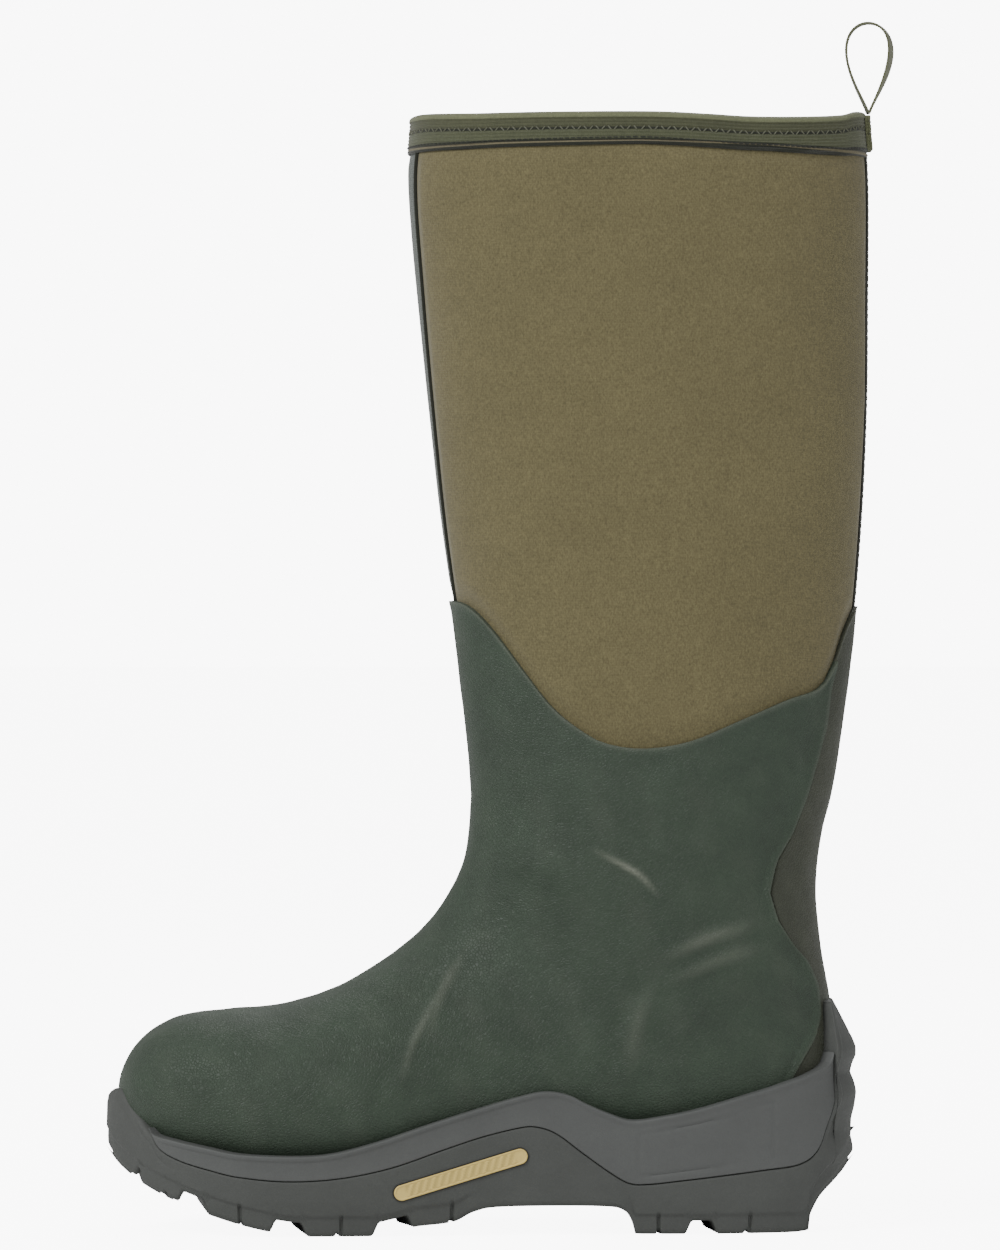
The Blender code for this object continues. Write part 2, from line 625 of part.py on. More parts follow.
def make_pull_loop(finish):
    """Webbing bent to a teardrop on edge, both legs meeting in a round root on the hinge axis."""
    root_x, root_z = loop_root()
    start = 0.16
    turn = np.linspace(start, 2 * math.pi - start, 33)
    middle = np.stack([
        WEBBING / 2 * np.cos(turn / 2) + LOOP_SPREAD * np.sin(turn) * np.sin(turn / 2) ** 1.3,
        LOOP_HEIGHT * (1 - np.cos(turn)) / 2,
    ], axis=1)
    along = np.gradient(middle, axis=0)
    along /= np.linalg.norm(along, axis=1, keepdims=True)
    outward = np.stack([along[:, 1], -along[:, 0]], axis=1)
    outer = middle + outward * WEBBING / 2
    inner = middle - outward * WEBBING / 2
    inner = inner[2:-2]
    foot = np.linspace(math.pi, 2 * math.pi, 7)
    arc = WEBBING * np.stack([np.cos(foot), np.sin(foot)], axis=1)
    outline = np.vstack([outer, arc])
    mesh = plate("pull_loop", [outline + (root_x, root_z), inner + (root_x, root_z)],
                 -WEBBING_WIDTH / 2, WEBBING_WIDTH / 2)
    place("pull_loop", mesh, finish, pivot=(root_x, 0, root_z))


def make_loop_tail(finish):
    """The two sewn-down webbing ends, flat on the binding."""
    root_x, root_z = loop_root()
    top = root_z - WEBBING - FIT
    low = offset_points([[row_at(top - TAIL_LENGTH)]], [[math.pi]], 0)[0, 0]
    high = offset_points([[0.0]], [[math.pi]], 0)[0, 0]
    lean = math.atan2(high[0] - low[0], high[2] - low[2])
    bpy.ops.mesh.primitive_cube_add(size=1)
    tail = bpy.context.object
    tail.name = tail.data.name = "pull_loop_tail"
    tail.data.transform(Matrix.Diagonal((2 * WEBBING, WEBBING_WIDTH, TAIL_LENGTH, 1)))
    tail.parent = STAND
    centre_height = top - TAIL_LENGTH / 2
    share = (centre_height - low[2]) / (high[2] - low[2])
    skin_x = low[0] + share * (high[0] - low[0])
    tail.location = (skin_x + 2 * FIT + BINDING + WEBBING, 0, centre_height)
    tail.rotation_euler.y = lean
    round_off = tail.modifiers.new("rounded edges", "BEVEL")
    round_off.width = WEBBING / 3
    round_off.segments = 2
    tail.data.materials.append(finish)
    for holder in list(tail.users_collection):
        holder.objects.unlink(tail)
    BOOT.objects.link(tail)


# ---- Insoles ---------------------------------------------------------------------------------


def make_insoles(underlay_finish, footbed_finish, cover_finish):
    """Felt underlay, and the footbed with its cover, which tip up about the footbed's toe end."""
    rows = stretch_of(FOOT_ROWS, *INSOLE_ROWS)
    angles = lattice(rows, range(INSOLE_COLUMNS[0], INSOLE_COLUMNS[1] + 1))
    level = -NEOPRENE - LINING - 2 * FIT
    place("thermal_underlay", wall("thermal_underlay", rows, angles, level, level - UNDERLAY), underlay_finish)
    level -= UNDERLAY + FIT
    pivot = tuple(offset_points([[INSOLE_ROWS[1]]], [[math.pi]], level)[0, 0] * (1, 0, 1))
    place("footbed", wall("footbed", rows, angles, level, level - FOOTBED), footbed_finish, pivot)
    level -= FOOTBED + FIT
    place("footbed_cover", wall("footbed_cover", rows, angles, level, level - COVER_CLOTH), cover_finish, pivot)


# ---- Sole unit -------------------------------------------------------------------------------


def sole_ring(inset, height):
    """The sole's outline at a height, drawn in by inset, which may differ from point to point."""
    at = np.arange(SOLE_RING) * len(SOLE_OUTLINE) / SOLE_RING
    drawn = np.array(SOLE_OUTLINE, float) * MM
    y = widened(drawn[:, 1], drawn[:, 0], 0)
    x = drawn[:, 0] * SOLE_LENGTH / DRAWN_LENGTH
    outline = spline(np.stack([x, y], axis=1), at, closed=True)
    along = np.roll(outline, -1, axis=0) - np.roll(outline, 1, axis=0)
    along /= np.linalg.norm(along, axis=1, keepdims=True)
    inward = np.stack([along[:, 1], -along[:, 0]], axis=1)
    ring = outline + inward * np.broadcast_to(inset, (SOLE_RING,))[:, None]
    return np.column_stack([ring, np.full(SOLE_RING, height)])


def sole_block(name, inset=0.0):
    """The whole sole unit before it is cut: a slightly barrelled block of the sole's outline."""
    return stack(name, [sole_ring(inset + drawn_in * MM, height * MM) for height, drawn_in in SOLE_BARREL])


def tread_height(x):
    """Height of the lugs' faces at a place along the sole."""
    line = side_curve(TREAD_LINE)
    return float(np.interp(x, line[:, 0], line[:, 1]))


def cutter_plate(name, outline):
    return place(name, plate(name, [outline], -BALL_WIDTH, BALL_WIDTH))


def midsole_space(name, ease):
    """The room that the midsole takes: inside the outsole's wall and floor, and all above its edge line."""
    far = 2 * SOLE_LENGTH
    ring = sole_ring(0, 0)
    toe_end, heel_end = ring[:, 0].min(), ring[:, 0].max()
    near_end = np.clip((np.abs(ring[:, 0] - (toe_end + heel_end) / 2) / (SOLE_LENGTH / 2) - 0.75) / 0.25, 0, 1)
    inset = SOLE_WALL + (END_WALL - SOLE_WALL) * near_end + ease
    space = place(name, stack(name, [sole_ring(inset, 0), sole_ring(inset, BOOT_HEIGHT / 4)]))
    floor = side_curve(TREAD_LINE) + (0, LUG_DEPTH + SOLE_FLOOR + ease)
    boolean(space, cutter_plate(f"{name}_floor", beyond(floor, -far, far, -BOOT_HEIGHT)))
    edge = raised(side_curve(MIDSOLE_LINE, 2), ease)
    band = [*map(tuple, edge), (edge[-1, 0], BOOT_HEIGHT / 4), (edge[0, 0], BOOT_HEIGHT / 4)]
    boolean(space, cutter_plate(f"{name}_band", band), "UNION")
    return space


def upper_envelope():
    """The room that the lasted upper takes in the sole unit."""
    rows = [SHAFT_ROWS[-1], JOIN_ROW, *FOOT_ROWS]
    angles = whole_ring(rows)
    rings = offset_points(np.array(rows, float)[:, None], angles, 2 * FIT + RUBBER)
    return place("upper_envelope", stack("upper_envelope", rings, cap_last=False))


def make_shank(finish):
    """Spring-steel strip under the arch, bedded in the midsole; returns the pocket that it needs."""
    rows = stretch_of(FOOT_ROWS, *SHANK_ROWS)
    angles = lattice(rows, range(HALF_COLUMNS - 1, HALF_COLUMNS + 2))
    middle = angles[:, 1:2]
    angles = middle + (angles - middle) / 2
    top = 2 * FIT + RUBBER
    place("shank", wall("shank", rows, angles, top + SHANK, top), finish)
    ease = 0.01
    rows = [rows[0] - ease, *rows[1:-1], rows[-1] + ease]
    wider = middle + (angles - middle) * (1 + 4 * ease)
    return place("shank_pocket", wall("shank_pocket", rows, wider, top + SHANK + FIT, top - RUBBER))


def stadium(length, height):
    """A straight bar outline with round ends, tilted and centred on the badge's place."""
    radius = height / 2
    half = length / 2 - radius
    turn = np.linspace(-math.pi / 2, math.pi / 2, 9)
    right = np.stack([half + radius * np.cos(turn), radius * np.sin(turn)], axis=1)
    bar = np.vstack([right, -right])
    cos, sin = math.cos(BADGE_TILT), math.sin(BADGE_TILT)
    turned = np.stack([bar[:, 0] * cos - bar[:, 1] * sin, bar[:, 0] * sin + bar[:, 1] * cos], axis=1)
    return turned + side_curve([BADGE_CENTRE, BADGE_CENTRE])[0]


def make_badges(finish, outsole):
    """An inlaid bar in each side wall, and the recesses for them in the outsole."""
    block = place("badge_skin", sole_block("badge_skin"))
    behind = place("behind_badge", sole_block("behind_badge", BADGE_DEPTH))
    behind_recess = place("behind_recess", sole_block("behind_recess", BADGE_DEPTH + FIT))
    for side, low, high in (("medial", -BALL_WIDTH, 0), ("lateral", 0, BALL_WIDTH)):
        name = f"badge_{side}"
        badge = place(name, plate(name, [stadium(BADGE_LENGTH, BADGE_HEIGHT)], low, high), finish)
        boolean(badge, block, "INTERSECT")
        boolean(badge, behind)
        outline = stadium(BADGE_LENGTH + 2 * FIT, BADGE_HEIGHT + 2 * FIT)
        recess = place(f"{name}_recess", plate(f"{name}_recess", [outline], low, high))
        boolean(recess, behind_recess)
        boolean(outsole, recess)


def groove_cutters():
    """The grooves between the lugs: bent bars across the sole and straight ones along it."""
    cutters = []
    bend = GROOVE_BEND * MM
    for place_x, width in GROOVES:
        centre = place_x * MM * SOLE_LENGTH / DRAWN_LENGTH
        half = width * MM / 2
        outline = [(centre - half, -BALL_WIDTH), (centre - bend - half, 0), (centre - half, BALL_WIDTH),
                   (centre + half, BALL_WIDTH), (centre - bend + half, 0), (centre + half, -BALL_WIDTH)]
        roof = tread_height(centre) + LUG_DEPTH
        name = f"groove_{len(cutters)}"
        cutters.append(place(name, plate(name, [outline], -LUG_DEPTH, roof, upright=False)))
    side = CENTRE_GROOVE_WIDTH * MM / 2
    for start, end in CENTRE_GROOVES:
        x = np.linspace(start, end, 9) * MM * SOLE_LENGTH / DRAWN_LENGTH
        roof = [(step, tread_height(step) + LUG_DEPTH) for step in x]
        name = f"groove_{len(cutters)}"
        outline = [(x[0], -LUG_DEPTH), *roof, (x[-1], -LUG_DEPTH)]
        cutters.append(place(name, plate(name, [outline], -side, side)))
    return cutters


def make_sole(outsole_finish, midsole_finish, shank_finish, badge_finish):
    far = 2 * SOLE_LENGTH
    feather = side_curve(FEATHER_LINE, 2)
    above = cutter_plate("above_sole", beyond(feather, -far, far, BOOT_HEIGHT))
    below = cutter_plate("below_tread", beyond(side_curve(TREAD_LINE), -far, far, -BOOT_HEIGHT))
    envelope = upper_envelope()
    outsole = place("outsole", sole_block("outsole"), outsole_finish)
    for tool in (midsole_space("midsole_space", 0.0), above, below, envelope, *groove_cutters()):
        boolean(outsole, tool)
    make_badges(badge_finish, outsole)
    midsole = place("midsole", sole_block("midsole"), midsole_finish)
    boolean(midsole, midsole_space("midsole_body", FIT), "INTERSECT")
    for tool in (above, envelope, make_shank(shank_finish)):
        boolean(midsole, tool)


# ---- Assembly --------------------------------------------------------------------------------


def clear_scene():
    for old in list(bpy.data.objects):
        bpy.data.objects.remove(old)


def box_centre_x():
    """Middle of the boot from its toe bumper to the pull loop, which the origin lies under."""
    ring = sole_ring(0, 0)
    turn = np.linspace(0, math.pi, 400)
    swell = (WEBBING / 2 * np.cos(turn / 2) + LOOP_SPREAD * np.sin(turn) * np.sin(turn / 2) ** 1.3).max()
    return (ring[:, 0].min() + loop_root()[0] + swell + WEBBING / 2) / 2


def main():
    tan = material("tan_neoprene", (0.135, 0.110, 0.052), 0.85)
    grey_strip = material("grey_strip", (0.19, 0.20, 0.17), 0.8)
    olive = material("olive_tape", (0.070, 0.070, 0.038), 0.85)
    dark = material("dark_piping", (0.025, 0.026, 0.020), 0.7)
    green = material("green_rubber", (0.055, 0.068, 0.050), 0.5)
    stay = material("grey_green_rubber", (0.075, 0.087, 0.065), 0.5)
    sock = material("black_neoprene", (0.02, 0.02, 0.02), 0.9)
    jersey = material("lining_jersey", (0.06, 0.06, 0.05), 0.95)
    stiff = material("fibre_board", (0.30, 0.24, 0.16), 0.8)
    felt = material("grey_felt", (0.25, 0.25, 0.24), 0.95)
    foam = material("black_foam", (0.03, 0.03, 0.03), 0.8)
    cloth = material("footbed_cloth", (0.05, 0.06, 0.045), 0.9)
    sole_rubber = material("sole_rubber", (0.068, 0.074, 0.068), 0.6)
    midsole_foam = material("midsole_foam", (0.085, 0.092, 0.085), 0.6)
    steel = material("spring_steel", (0.5, 0.5, 0.5), 0.35, 1.0)
    gold = material("gold_inlay", (0.55, 0.42, 0.17), 0.45)

    make_side_panels(tan)
    make_front_panel(grey_strip)
    make_front_pipings(dark)
    make_back_tape(dark)
    make_linings(jersey, jersey)
    make_foot_bootie(sock)
    make_stiffeners(stiff)
    make_rubber(green, stay, make_board(stiff))
    make_binding(olive)
    make_pull_loop(olive)
    make_loop_tail(olive)
    make_insoles(felt, foam, cloth)
    make_sole(sole_rubber, midsole_foam, steel, gold)


clear_scene()
BOOT = bpy.data.collections.new("insulated_hunting_boot")
CUTTERS = bpy.data.collections.new("cutters")
for group in (BOOT, CUTTERS):
    bpy.context.scene.collection.children.link(group)
STAND = bpy.data.objects.new("boot_stand", None)
STAND.location.x = -box_centre_x()
BOOT.objects.link(STAND)
main()
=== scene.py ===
"""An insulated rubber hunting boot: the looks, built around its packed frame.

The boot stands on its sole: +Z is up, the toe points to -X and the inner (medial) side is -Y. The
upper, the linings and the insoles are layers of one surface, the last, whose points are a function
of a row (from the top edge down the shaft, round the heel and out to the toe) and of a turn round
that row. The sole is a wall that follows the sole's outline, with its heights drawn in side view.
"""

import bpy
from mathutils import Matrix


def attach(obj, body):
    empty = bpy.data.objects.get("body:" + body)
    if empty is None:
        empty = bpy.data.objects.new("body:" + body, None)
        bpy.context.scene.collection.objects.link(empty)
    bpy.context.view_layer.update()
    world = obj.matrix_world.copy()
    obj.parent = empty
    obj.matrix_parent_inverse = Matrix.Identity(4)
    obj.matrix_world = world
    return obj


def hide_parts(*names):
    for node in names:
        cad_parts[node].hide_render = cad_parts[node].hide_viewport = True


bl_info = {
    "name": "Insulated hunting boot",
    "version": (1, 0, 0),
    "blender": (4, 5, 0),
    "location": "3D View > Sidebar > Boot",
    "description": "Builds a knee-high rubber and neoprene boot around its packed frame",
    "category": "Add Mesh",
}

import math

import bmesh
import bpy
import numpy as np
from bpy.props import FloatProperty, FloatVectorProperty, PointerProperty
from mathutils import Vector

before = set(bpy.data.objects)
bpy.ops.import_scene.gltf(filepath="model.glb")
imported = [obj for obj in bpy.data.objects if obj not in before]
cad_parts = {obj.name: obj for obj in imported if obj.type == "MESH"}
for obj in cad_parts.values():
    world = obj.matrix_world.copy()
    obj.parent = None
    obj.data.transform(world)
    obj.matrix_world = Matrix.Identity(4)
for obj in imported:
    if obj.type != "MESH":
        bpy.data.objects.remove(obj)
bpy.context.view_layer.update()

MM = 0.001
TURN = 2 * math.pi

# ---- Patterns --------------------------------------------------------------------------------

# Cross sections of the last, from the top edge to the toe, in millimetres: the front (or top) point
# x, z; the back (or bottom) point x, z; half width; sideways shift; where it is widest, as a share of
# the way from back to front; and the squareness of its front and of its back half (2 is an ellipse).
SECTIONS = [
    (-35.8, 458.5, 150.0, 458.5, 40.0, 0.0, 0.50, 2.15, 2.15),
    (-37.4, 430.0, 151.7, 430.0, 41.5, 0.0, 0.50, 2.15, 2.15),
    (-33.6, 385.0, 151.6, 385.0, 42.0, 0.0, 0.50, 2.15, 2.15),
    (-28.9, 338.0, 151.1, 338.0, 42.0, 0.0, 0.50, 2.15, 2.15),
    (-23.5, 290.0, 148.8, 290.0, 41.2, 0.0, 0.50, 2.15, 2.15),
    (-16.4, 240.0, 144.4, 240.0, 40.5, 0.0, 0.50, 2.15, 2.15),
    (-10.8, 188.0, 137.2, 188.0, 39.8, 0.0, 0.50, 2.15, 2.15),
    (-10.5, 172.0, 131.4, 163.0, 39.4, 0.0, 0.50, 2.15, 2.15),
    (-11.0, 163.5, 129.2, 141.0, 39.2, 0.0, 0.50, 2.15, 2.15),
    (-12.0, 156.5, 131.0, 117.0, 39.0, 0.0, 0.50, 2.15, 2.25),
    (-13.4, 150.5, 135.4, 90.0, 38.5, 0.0, 0.48, 2.15, 2.40),
    (-15.5, 145.0, 136.2, 62.0, 38.0, 0.0, 0.46, 2.15, 2.50),
    (-18.2, 139.5, 126.0, 40.0, 38.0, 0.2, 0.42, 2.15, 2.50),
    (-22.0, 133.0, 96.0, 32.0, 38.8, 1.0, 0.40, 2.10, 2.55),
    (-27.8, 125.2, 60.0, 33.5, 40.8, 2.5, 0.38, 2.10, 2.60),
    (-37.0, 116.2, 24.0, 33.5, 43.5, 3.5, 0.37, 2.10, 2.60),
    (-50.5, 106.6, -12.0, 29.0, 47.5, 3.0, 0.37, 2.15, 2.60),
    (-68.5, 96.8, -47.0, 22.8, 51.0, 1.0, 0.38, 2.20, 2.60),
    (-90.0, 90.4, -80.0, 20.3, 51.3, 0.0, 0.39, 2.25, 2.60),
    (-112.5, 88.3, -110.0, 23.2, 46.8, -2.0, 0.40, 2.30, 2.60),
    (-134.5, 84.6, -134.0, 30.5, 37.5, -4.0, 0.42, 2.30, 2.50),
    (-149.5, 73.5, -149.5, 41.5, 23.0, -5.0, 0.46, 2.15, 2.30),
    (-155.5, 57.0, -155.5, 57.0, 0.0, -5.5, 0.50, 2.00, 2.00),
]
TOE_TIP = len(SECTIONS) - 1
JOIN_ROW = 6

# The sole seen from above, in millimetres, from the heel along the inner side and back along the outer.
SOLE_OUTLINE = [
    (147, 0), (138, -24), (118, -36.5), (85, -43.5), (45, -44), (10, -46.5), (-30, -52), (-72, -57.5),
    (-108, -55), (-136, -45), (-154, -27), (-162.5, -6), (-155, 15), (-138, 34), (-110, 49), (-72, 57.5),
    (-32, 57.5), (8, 52.5), (45, 47.5), (85, 44), (118, 36.5), (138, 24),
]
# Height in millimetres and how far the wall is drawn in there, so that it is slightly barrelled.
SOLE_BARREL = [(-8, 3.0), (14, 0.8), (38, 0.0), (70, 0.8), (112, 2.5)]

# Curves of the side view, in millimetres (x, z), from toe to heel.
TREAD_LINE = [
    (-163, 34.5), (-162.5, 34), (-158, 28.5), (-150, 22.5), (-141, 17.5), (-130, 12.8), (-117, 8.0),
    (-102, 3.6), (-88, 0.9), (-77, 0), (-52, 0), (-44, 1.2), (-34, 3.6), (-19, 5.4), (-10, 9.6),
    (2, 11.5), (40, 11.5), (51, 9.6), (55, 3), (58, 0), (121, 0), (126, 4.6), (131.5, 14.5),
    (141, 23.5), (148, 32),
]
FEATHER_LINE = [
    (-163, 57.6), (-160, 57.8), (-157.5, 58.4), (-150, 49.5), (-143, 41.4), (-133, 38.6), (-120, 36.0),
    (-106, 33.5), (-83, 32.7), (-67, 33.9), (-49, 38.5), (-28, 45.5), (-8, 51.7), (8, 56.3),
    (18.5, 58.4), (28, 57.1), (36, 53.2), (45, 49.3), (54, 46.6), (66, 48), (82, 51.3), (100, 56.4),
    (118, 61.7), (133, 67), (137.6, 72), (139, 83), (139.8, 92.5), (141.8, 94), (145.5, 94.5), (148, 94.5),
]
MIDSOLE_LINE = [
    (-157.5, 61), (-150, 51.5), (-143.5, 42.6), (-139, 34.8), (-130.6, 30.2), (-118, 26.6), (-106, 24),
    (-86, 22.4), (-65, 23.6), (-44, 27.7), (-23, 34.8), (-8, 39.7), (7.7, 43.5), (15.1, 43.9),
    (23.4, 41), (34, 33.1), (45, 25.2), (53, 20.7), (61, 20.3), (74, 21.7), (87, 23.2), (108, 25.7),
    (122.7, 27.7), (130.2, 32.7), (134.3, 42.6), (138, 53), (138.3, 66), (139.0, 96),
]
RUBBER_TOP_LINE = [
    (-26, 260.5), (-22, 259.5), (-12.6, 257), (-3.1, 247.9), (11.8, 228), (22, 215), (33, 206),
    (43.3, 200.5), (59, 198.3), (77.6, 201.2), (97.5, 209.4), (117.3, 218), (130, 222.6),
    (135.6, 230.5), (139.7, 242.6), (142.2, 249.2), (146.3, 257), (150, 260),
]
VAMP_REAR_LINE = [
    (137, 231), (135.1, 224), (133, 207.5), (129.8, 195), (125.2, 179), (119, 163.5), (112.4, 152),
    (109.6, 139), (112.8, 127.5), (119, 117.5), (125.2, 110), (129.3, 100), (130.2, 89), (128, 79.5),
    (122.7, 70), (118.6, 62.5), (110, 40), (104, 15),
]
# How far the heel spur bulges (+) or is hollowed (-) at each height, in millimetres.
SPUR_RELIEF = [
    (20, -0.6), (26, -1.0), (31.5, 0.3), (35, -0.2), (40, -1.6), (45, -1.2), (50, 0.2), (56, 1.2),
    (60, 0.4), (64, -1.2), (67, -0.5), (71, 1.3), (75, 1.6), (80, 0.9), (86, 0.5), (93, 0.4),
]
# How far the spur leans forward at each height above the heel, in millimetres.
SPUR_LEAN = [(74, 0), (78, 0.9), (81, 2.0), (86, 4.0), (89.5, 5.6), (94.5, 8.0)]
# Height of the top edge above (+) or below (-) its level, along the boot, in millimetres.
TOPLINE_WAVE = [
    (-40, -1.6), (-36, -1.2), (-30, -0.9), (-10, -1.5), (17, -1.4), (62, -1.4), (85, -2.3), (103, -3.2),
    (125, -2.8), (140, -1.6), (146, 0.2), (151, 0.8), (155, 0.6),
]
# Height of the binding's lower edge along the boot, in millimetres.
BINDING_FOOT = [(-37, 444), (0, 445.4), (58, 446.3), (110, 444.8), (151, 441.8)]
# Front edge of the heel spur: its height and place along the boot, in millimetres.
SPUR_EDGE = [(30, 127), (33, 130.4), (42.6, 134.3), (53, 138), (66, 138.3), (72, 138), (83, 139), (93, 139.8)]
# Transverse grooves of the tread: x at the sole's edges, width and bend towards the toe, millimetres.
GROOVES = [(-148, 3, 2), (-125, 12, 7), (-86, 14, 8), (-43, 15, 8), (84, 12, 7)]
SIPES = [-106, -64, -19, 65, 103]
# Fine cuts across the lugs: x at the sole's edges and bend towards the toe, in millimetres.
FINE_CUTS = [(-137, 2), (-105.5, 7), (-66, 8), (-19, 8), (66, 7), (103, 7)]
CENTRE_GROOVES = [(-140, -30), (64, 116)]
# Creases of the rubber in side view: their course, height, half width in millimetres and how strongly a
# highlight is painted along them.
CREASES = [
    ([(38.5, 157), (50, 151), (58, 146), (65.5, 137.5)], 1.3, 1.4, 0.6),
    ([(-18, 108), (-28.8, 89.4), (-36, 76), (-41, 60)], 0.8, 2.0, 0.22),
    ([(-12, 118), (-24, 96), (-29, 80)], 0.5, 2.6, 0.2),
    ([(66, 112), (86, 121), (106, 127)], 1.2, 3.0, 0.24),
    ([(70, 103), (90, 112), (108, 117)], 0.9, 3.0, 0.16),
    ([(57, 106), (48, 86), (43, 62)], -0.6, 3.6, 0.0),
    ([(64, 106), (56, 84), (52, 60)], 1.0, 3.6, 0.12),
    ([(-45, 68), (-49, 60), (-52, 52)], -0.5, 3.5, 0.0),
    ([(-8, 178), (14, 168), (40, 166)], -0.5, 6.0, 0.0),
    ([(-6, 160), (20, 150), (44, 140)], 0.9, 7.0, 0.0),
    ([(104, 196), (88, 180), (80, 160)], -0.5, 7.0, 0.0),
]


# ---- Sizes and colours -----------------------------------------------------------------------


class BootSizes(bpy.types.PropertyGroup):
    """Sizes of the boot's finishing that a maker would change."""

    rubber: FloatProperty(name="Rubber", description="Thickness of the laid rubber", default=1.5 * MM,
                          min=0.5 * MM, max=4 * MM, unit="LENGTH")
    puff: FloatProperty(name="Puff", description="How far the neoprene swells between its seams",
                        default=1.2 * MM, min=0, max=3 * MM, unit="LENGTH")
    rib_pitch: FloatProperty(name="Rib pitch", description="Distance between the ribs of the binding",
                             default=1.5 * MM, min=0.5 * MM, max=4 * MM, unit="LENGTH")
    stitch: FloatProperty(name="Stitch", description="Length of one stitch", default=2.2 * MM,
                          min=1 * MM, max=5 * MM, unit="LENGTH")
    lug_depth: FloatProperty(name="Lug depth", description="Depth of the grooves between the lugs",
                             default=5.5 * MM, min=2 * MM, max=9 * MM, unit="LENGTH")
    fold_height: FloatProperty(name="Fold height", description="Height of the rubber's creases",
                               default=1.0, min=0, max=2, subtype="FACTOR")


def colour_setting(name, description, default):
    return FloatVectorProperty(name=name, description=description, default=default, size=3, min=0, max=1,
                               subtype="COLOR")


class BootColours(bpy.types.PropertyGroup):
    """Base colours of the boot's finishes."""

    neoprene: colour_setting("Neoprene", "Face fabric of the shaft", (0.142, 0.123, 0.058))
    strip: colour_setting("Front strip", "Reinforcing fabric down the shin", (0.135, 0.150, 0.135))
    piping: colour_setting("Piping", "Dark tapes and pipings", (0.020, 0.022, 0.014))
    binding: colour_setting("Binding", "Ribbed tape round the top edge and webbing", (0.075, 0.080, 0.042))
    thread: colour_setting("Thread", "Sewing thread", (0.150, 0.155, 0.105))
    rubber: colour_setting("Vamp rubber", "Green rubber of the foot", (0.031, 0.048, 0.030))
    stay: colour_setting("Back stay rubber", "Rubber of the heel and back", (0.037, 0.042, 0.026))
    midsole: colour_setting("Midsole", "Moulded foam of the midsole", (0.082, 0.086, 0.083))
    outsole: colour_setting("Outsole", "Moulded rubber of the outsole", (0.064, 0.068, 0.063))
    inlay: colour_setting("Inlay", "Gold bar in the sole's wall", (0.70, 0.53, 0.17))


# ---- Curves ----------------------------------------------------------------------------------


def spline(values, at, closed=False):
    """Catmull-Rom curve through numbered rows of values: row i is met at parameter i."""
    values = np.asarray(values, float)
    if closed:
        padded = np.concatenate([values[-1:], values, values[:2]])
    else:
        padded = np.concatenate([2 * values[:1] - values[1:2], values, 2 * values[-1:] - values[-2:-1]])
    at = np.asarray(at, float)
    first = np.clip(np.floor(at).astype(int), 0, len(padded) - 4)
    share = (at - first)[..., None]
    before, start, end, after = (padded[first + step] for step in range(4))
    slope = end - before
    bend = 2 * before - 5 * start + 4 * end - after
    twist = 3 * start - before - 3 * end + after
    return start + 0.5 * share * (slope + share * (bend + share * twist))


def smooth(start, end, value):
    """0 before start, 1 after end, and the S-curve 3s^2 - 2s^3 between them."""
    share = np.clip((np.asarray(value, float) - start) / (end - start), 0, 1)
    return share * share * (3 - 2 * share)


def drawn_curve(points, detail=12):
    """A side-view curve in metres, made dense with a spline; its x values never turn back."""
    points = np.array(points, float) * MM
    curve = spline(points, np.linspace(0, len(points) - 1, detail * (len(points) - 1) + 1))
    return np.maximum.accumulate(curve[:, 0]), curve[:, 1]


def height_on(line, x):
    """Height of a dense side-view curve at x."""
    return np.interp(x, *line)


FEATHER = drawn_curve(FEATHER_LINE)
MIDSOLE_EDGE = drawn_curve(MIDSOLE_LINE)
RUBBER_TOP = drawn_curve(RUBBER_TOP_LINE)
WAVE = drawn_curve(TOPLINE_WAVE)


# ---- The last --------------------------------------------------------------------------------


def section_table():
    """The sections in metres, with one row past the toe that mirrors the last but one."""
    table = np.array(SECTIONS)
    table[:, :6] *= MM
    past = table[-2].copy()
    past[:4] = table[-2, [2, 3, 0, 1]]
    past[4] = -past[4]
    return np.vstack([table, past])


SECTION_TABLE = section_table()


def last_point(row, turn):
    """Point of the last on a row: the section's front-to-back line, raised to a superellipse in turn.

    The share of the way to the front is k + (1 - k) |cos|^(2/n) before the widest place k, and
    k - k |cos|^(2/n) behind it, and the sideways distance is b |sin|^(2/n). Turn 0 is the front or
    top, a quarter turn the outer side and half a turn the back or bottom.
    """
    front_x, front_z, back_x, back_z, half, shift, widest, front_square, back_square = np.moveaxis(
        spline(SECTION_TABLE, row), -1, 0
    )
    along, across = np.cos(turn), np.sin(turn)
    power = 2 / np.where(along >= 0, front_square, back_square)
    reach = np.abs(along) ** power
    lift = np.where(along >= 0, widest + (1 - widest) * reach, widest - widest * reach)
    x = back_x + (front_x - back_x) * lift
    z = back_z + (front_z - back_z) * lift
    return np.stack([x, shift + half * np.sign(across) * np.abs(across) ** power, z], axis=-1)


def last_normal(row, turn):
    """Outward normal of the last: the direction square to both of its parameter lines."""
    step = 0.004
    row = np.minimum(row, TOE_TIP - 3 * step)
    down = last_point(row + step, turn) - last_point(row - step, turn)
    round_it = last_point(row, turn + step) - last_point(row, turn - step)
    normal = np.cross(round_it, down)
    return normal / np.linalg.norm(normal, axis=-1, keepdims=True)


def on_last(row, turn, lift):
    """Points at a distance outside the last; at the toe tip all of a row's points are one."""
    row, turn, lift = np.broadcast_arrays(*(np.asarray(part, float) for part in (row, turn, lift)))
    normal = last_normal(row, turn)
    tip = row >= TOE_TIP
    if tip.any():
        normal = np.where(tip[..., None], np.array([-1.0, 0.0, 0.0]), normal)
    points = last_point(np.minimum(row, TOE_TIP), turn) + normal * lift[..., None]
    points[..., 2] += height_on(WAVE, points[..., 0]) * smooth(428 * MM, 457 * MM, points[..., 2])
    return points


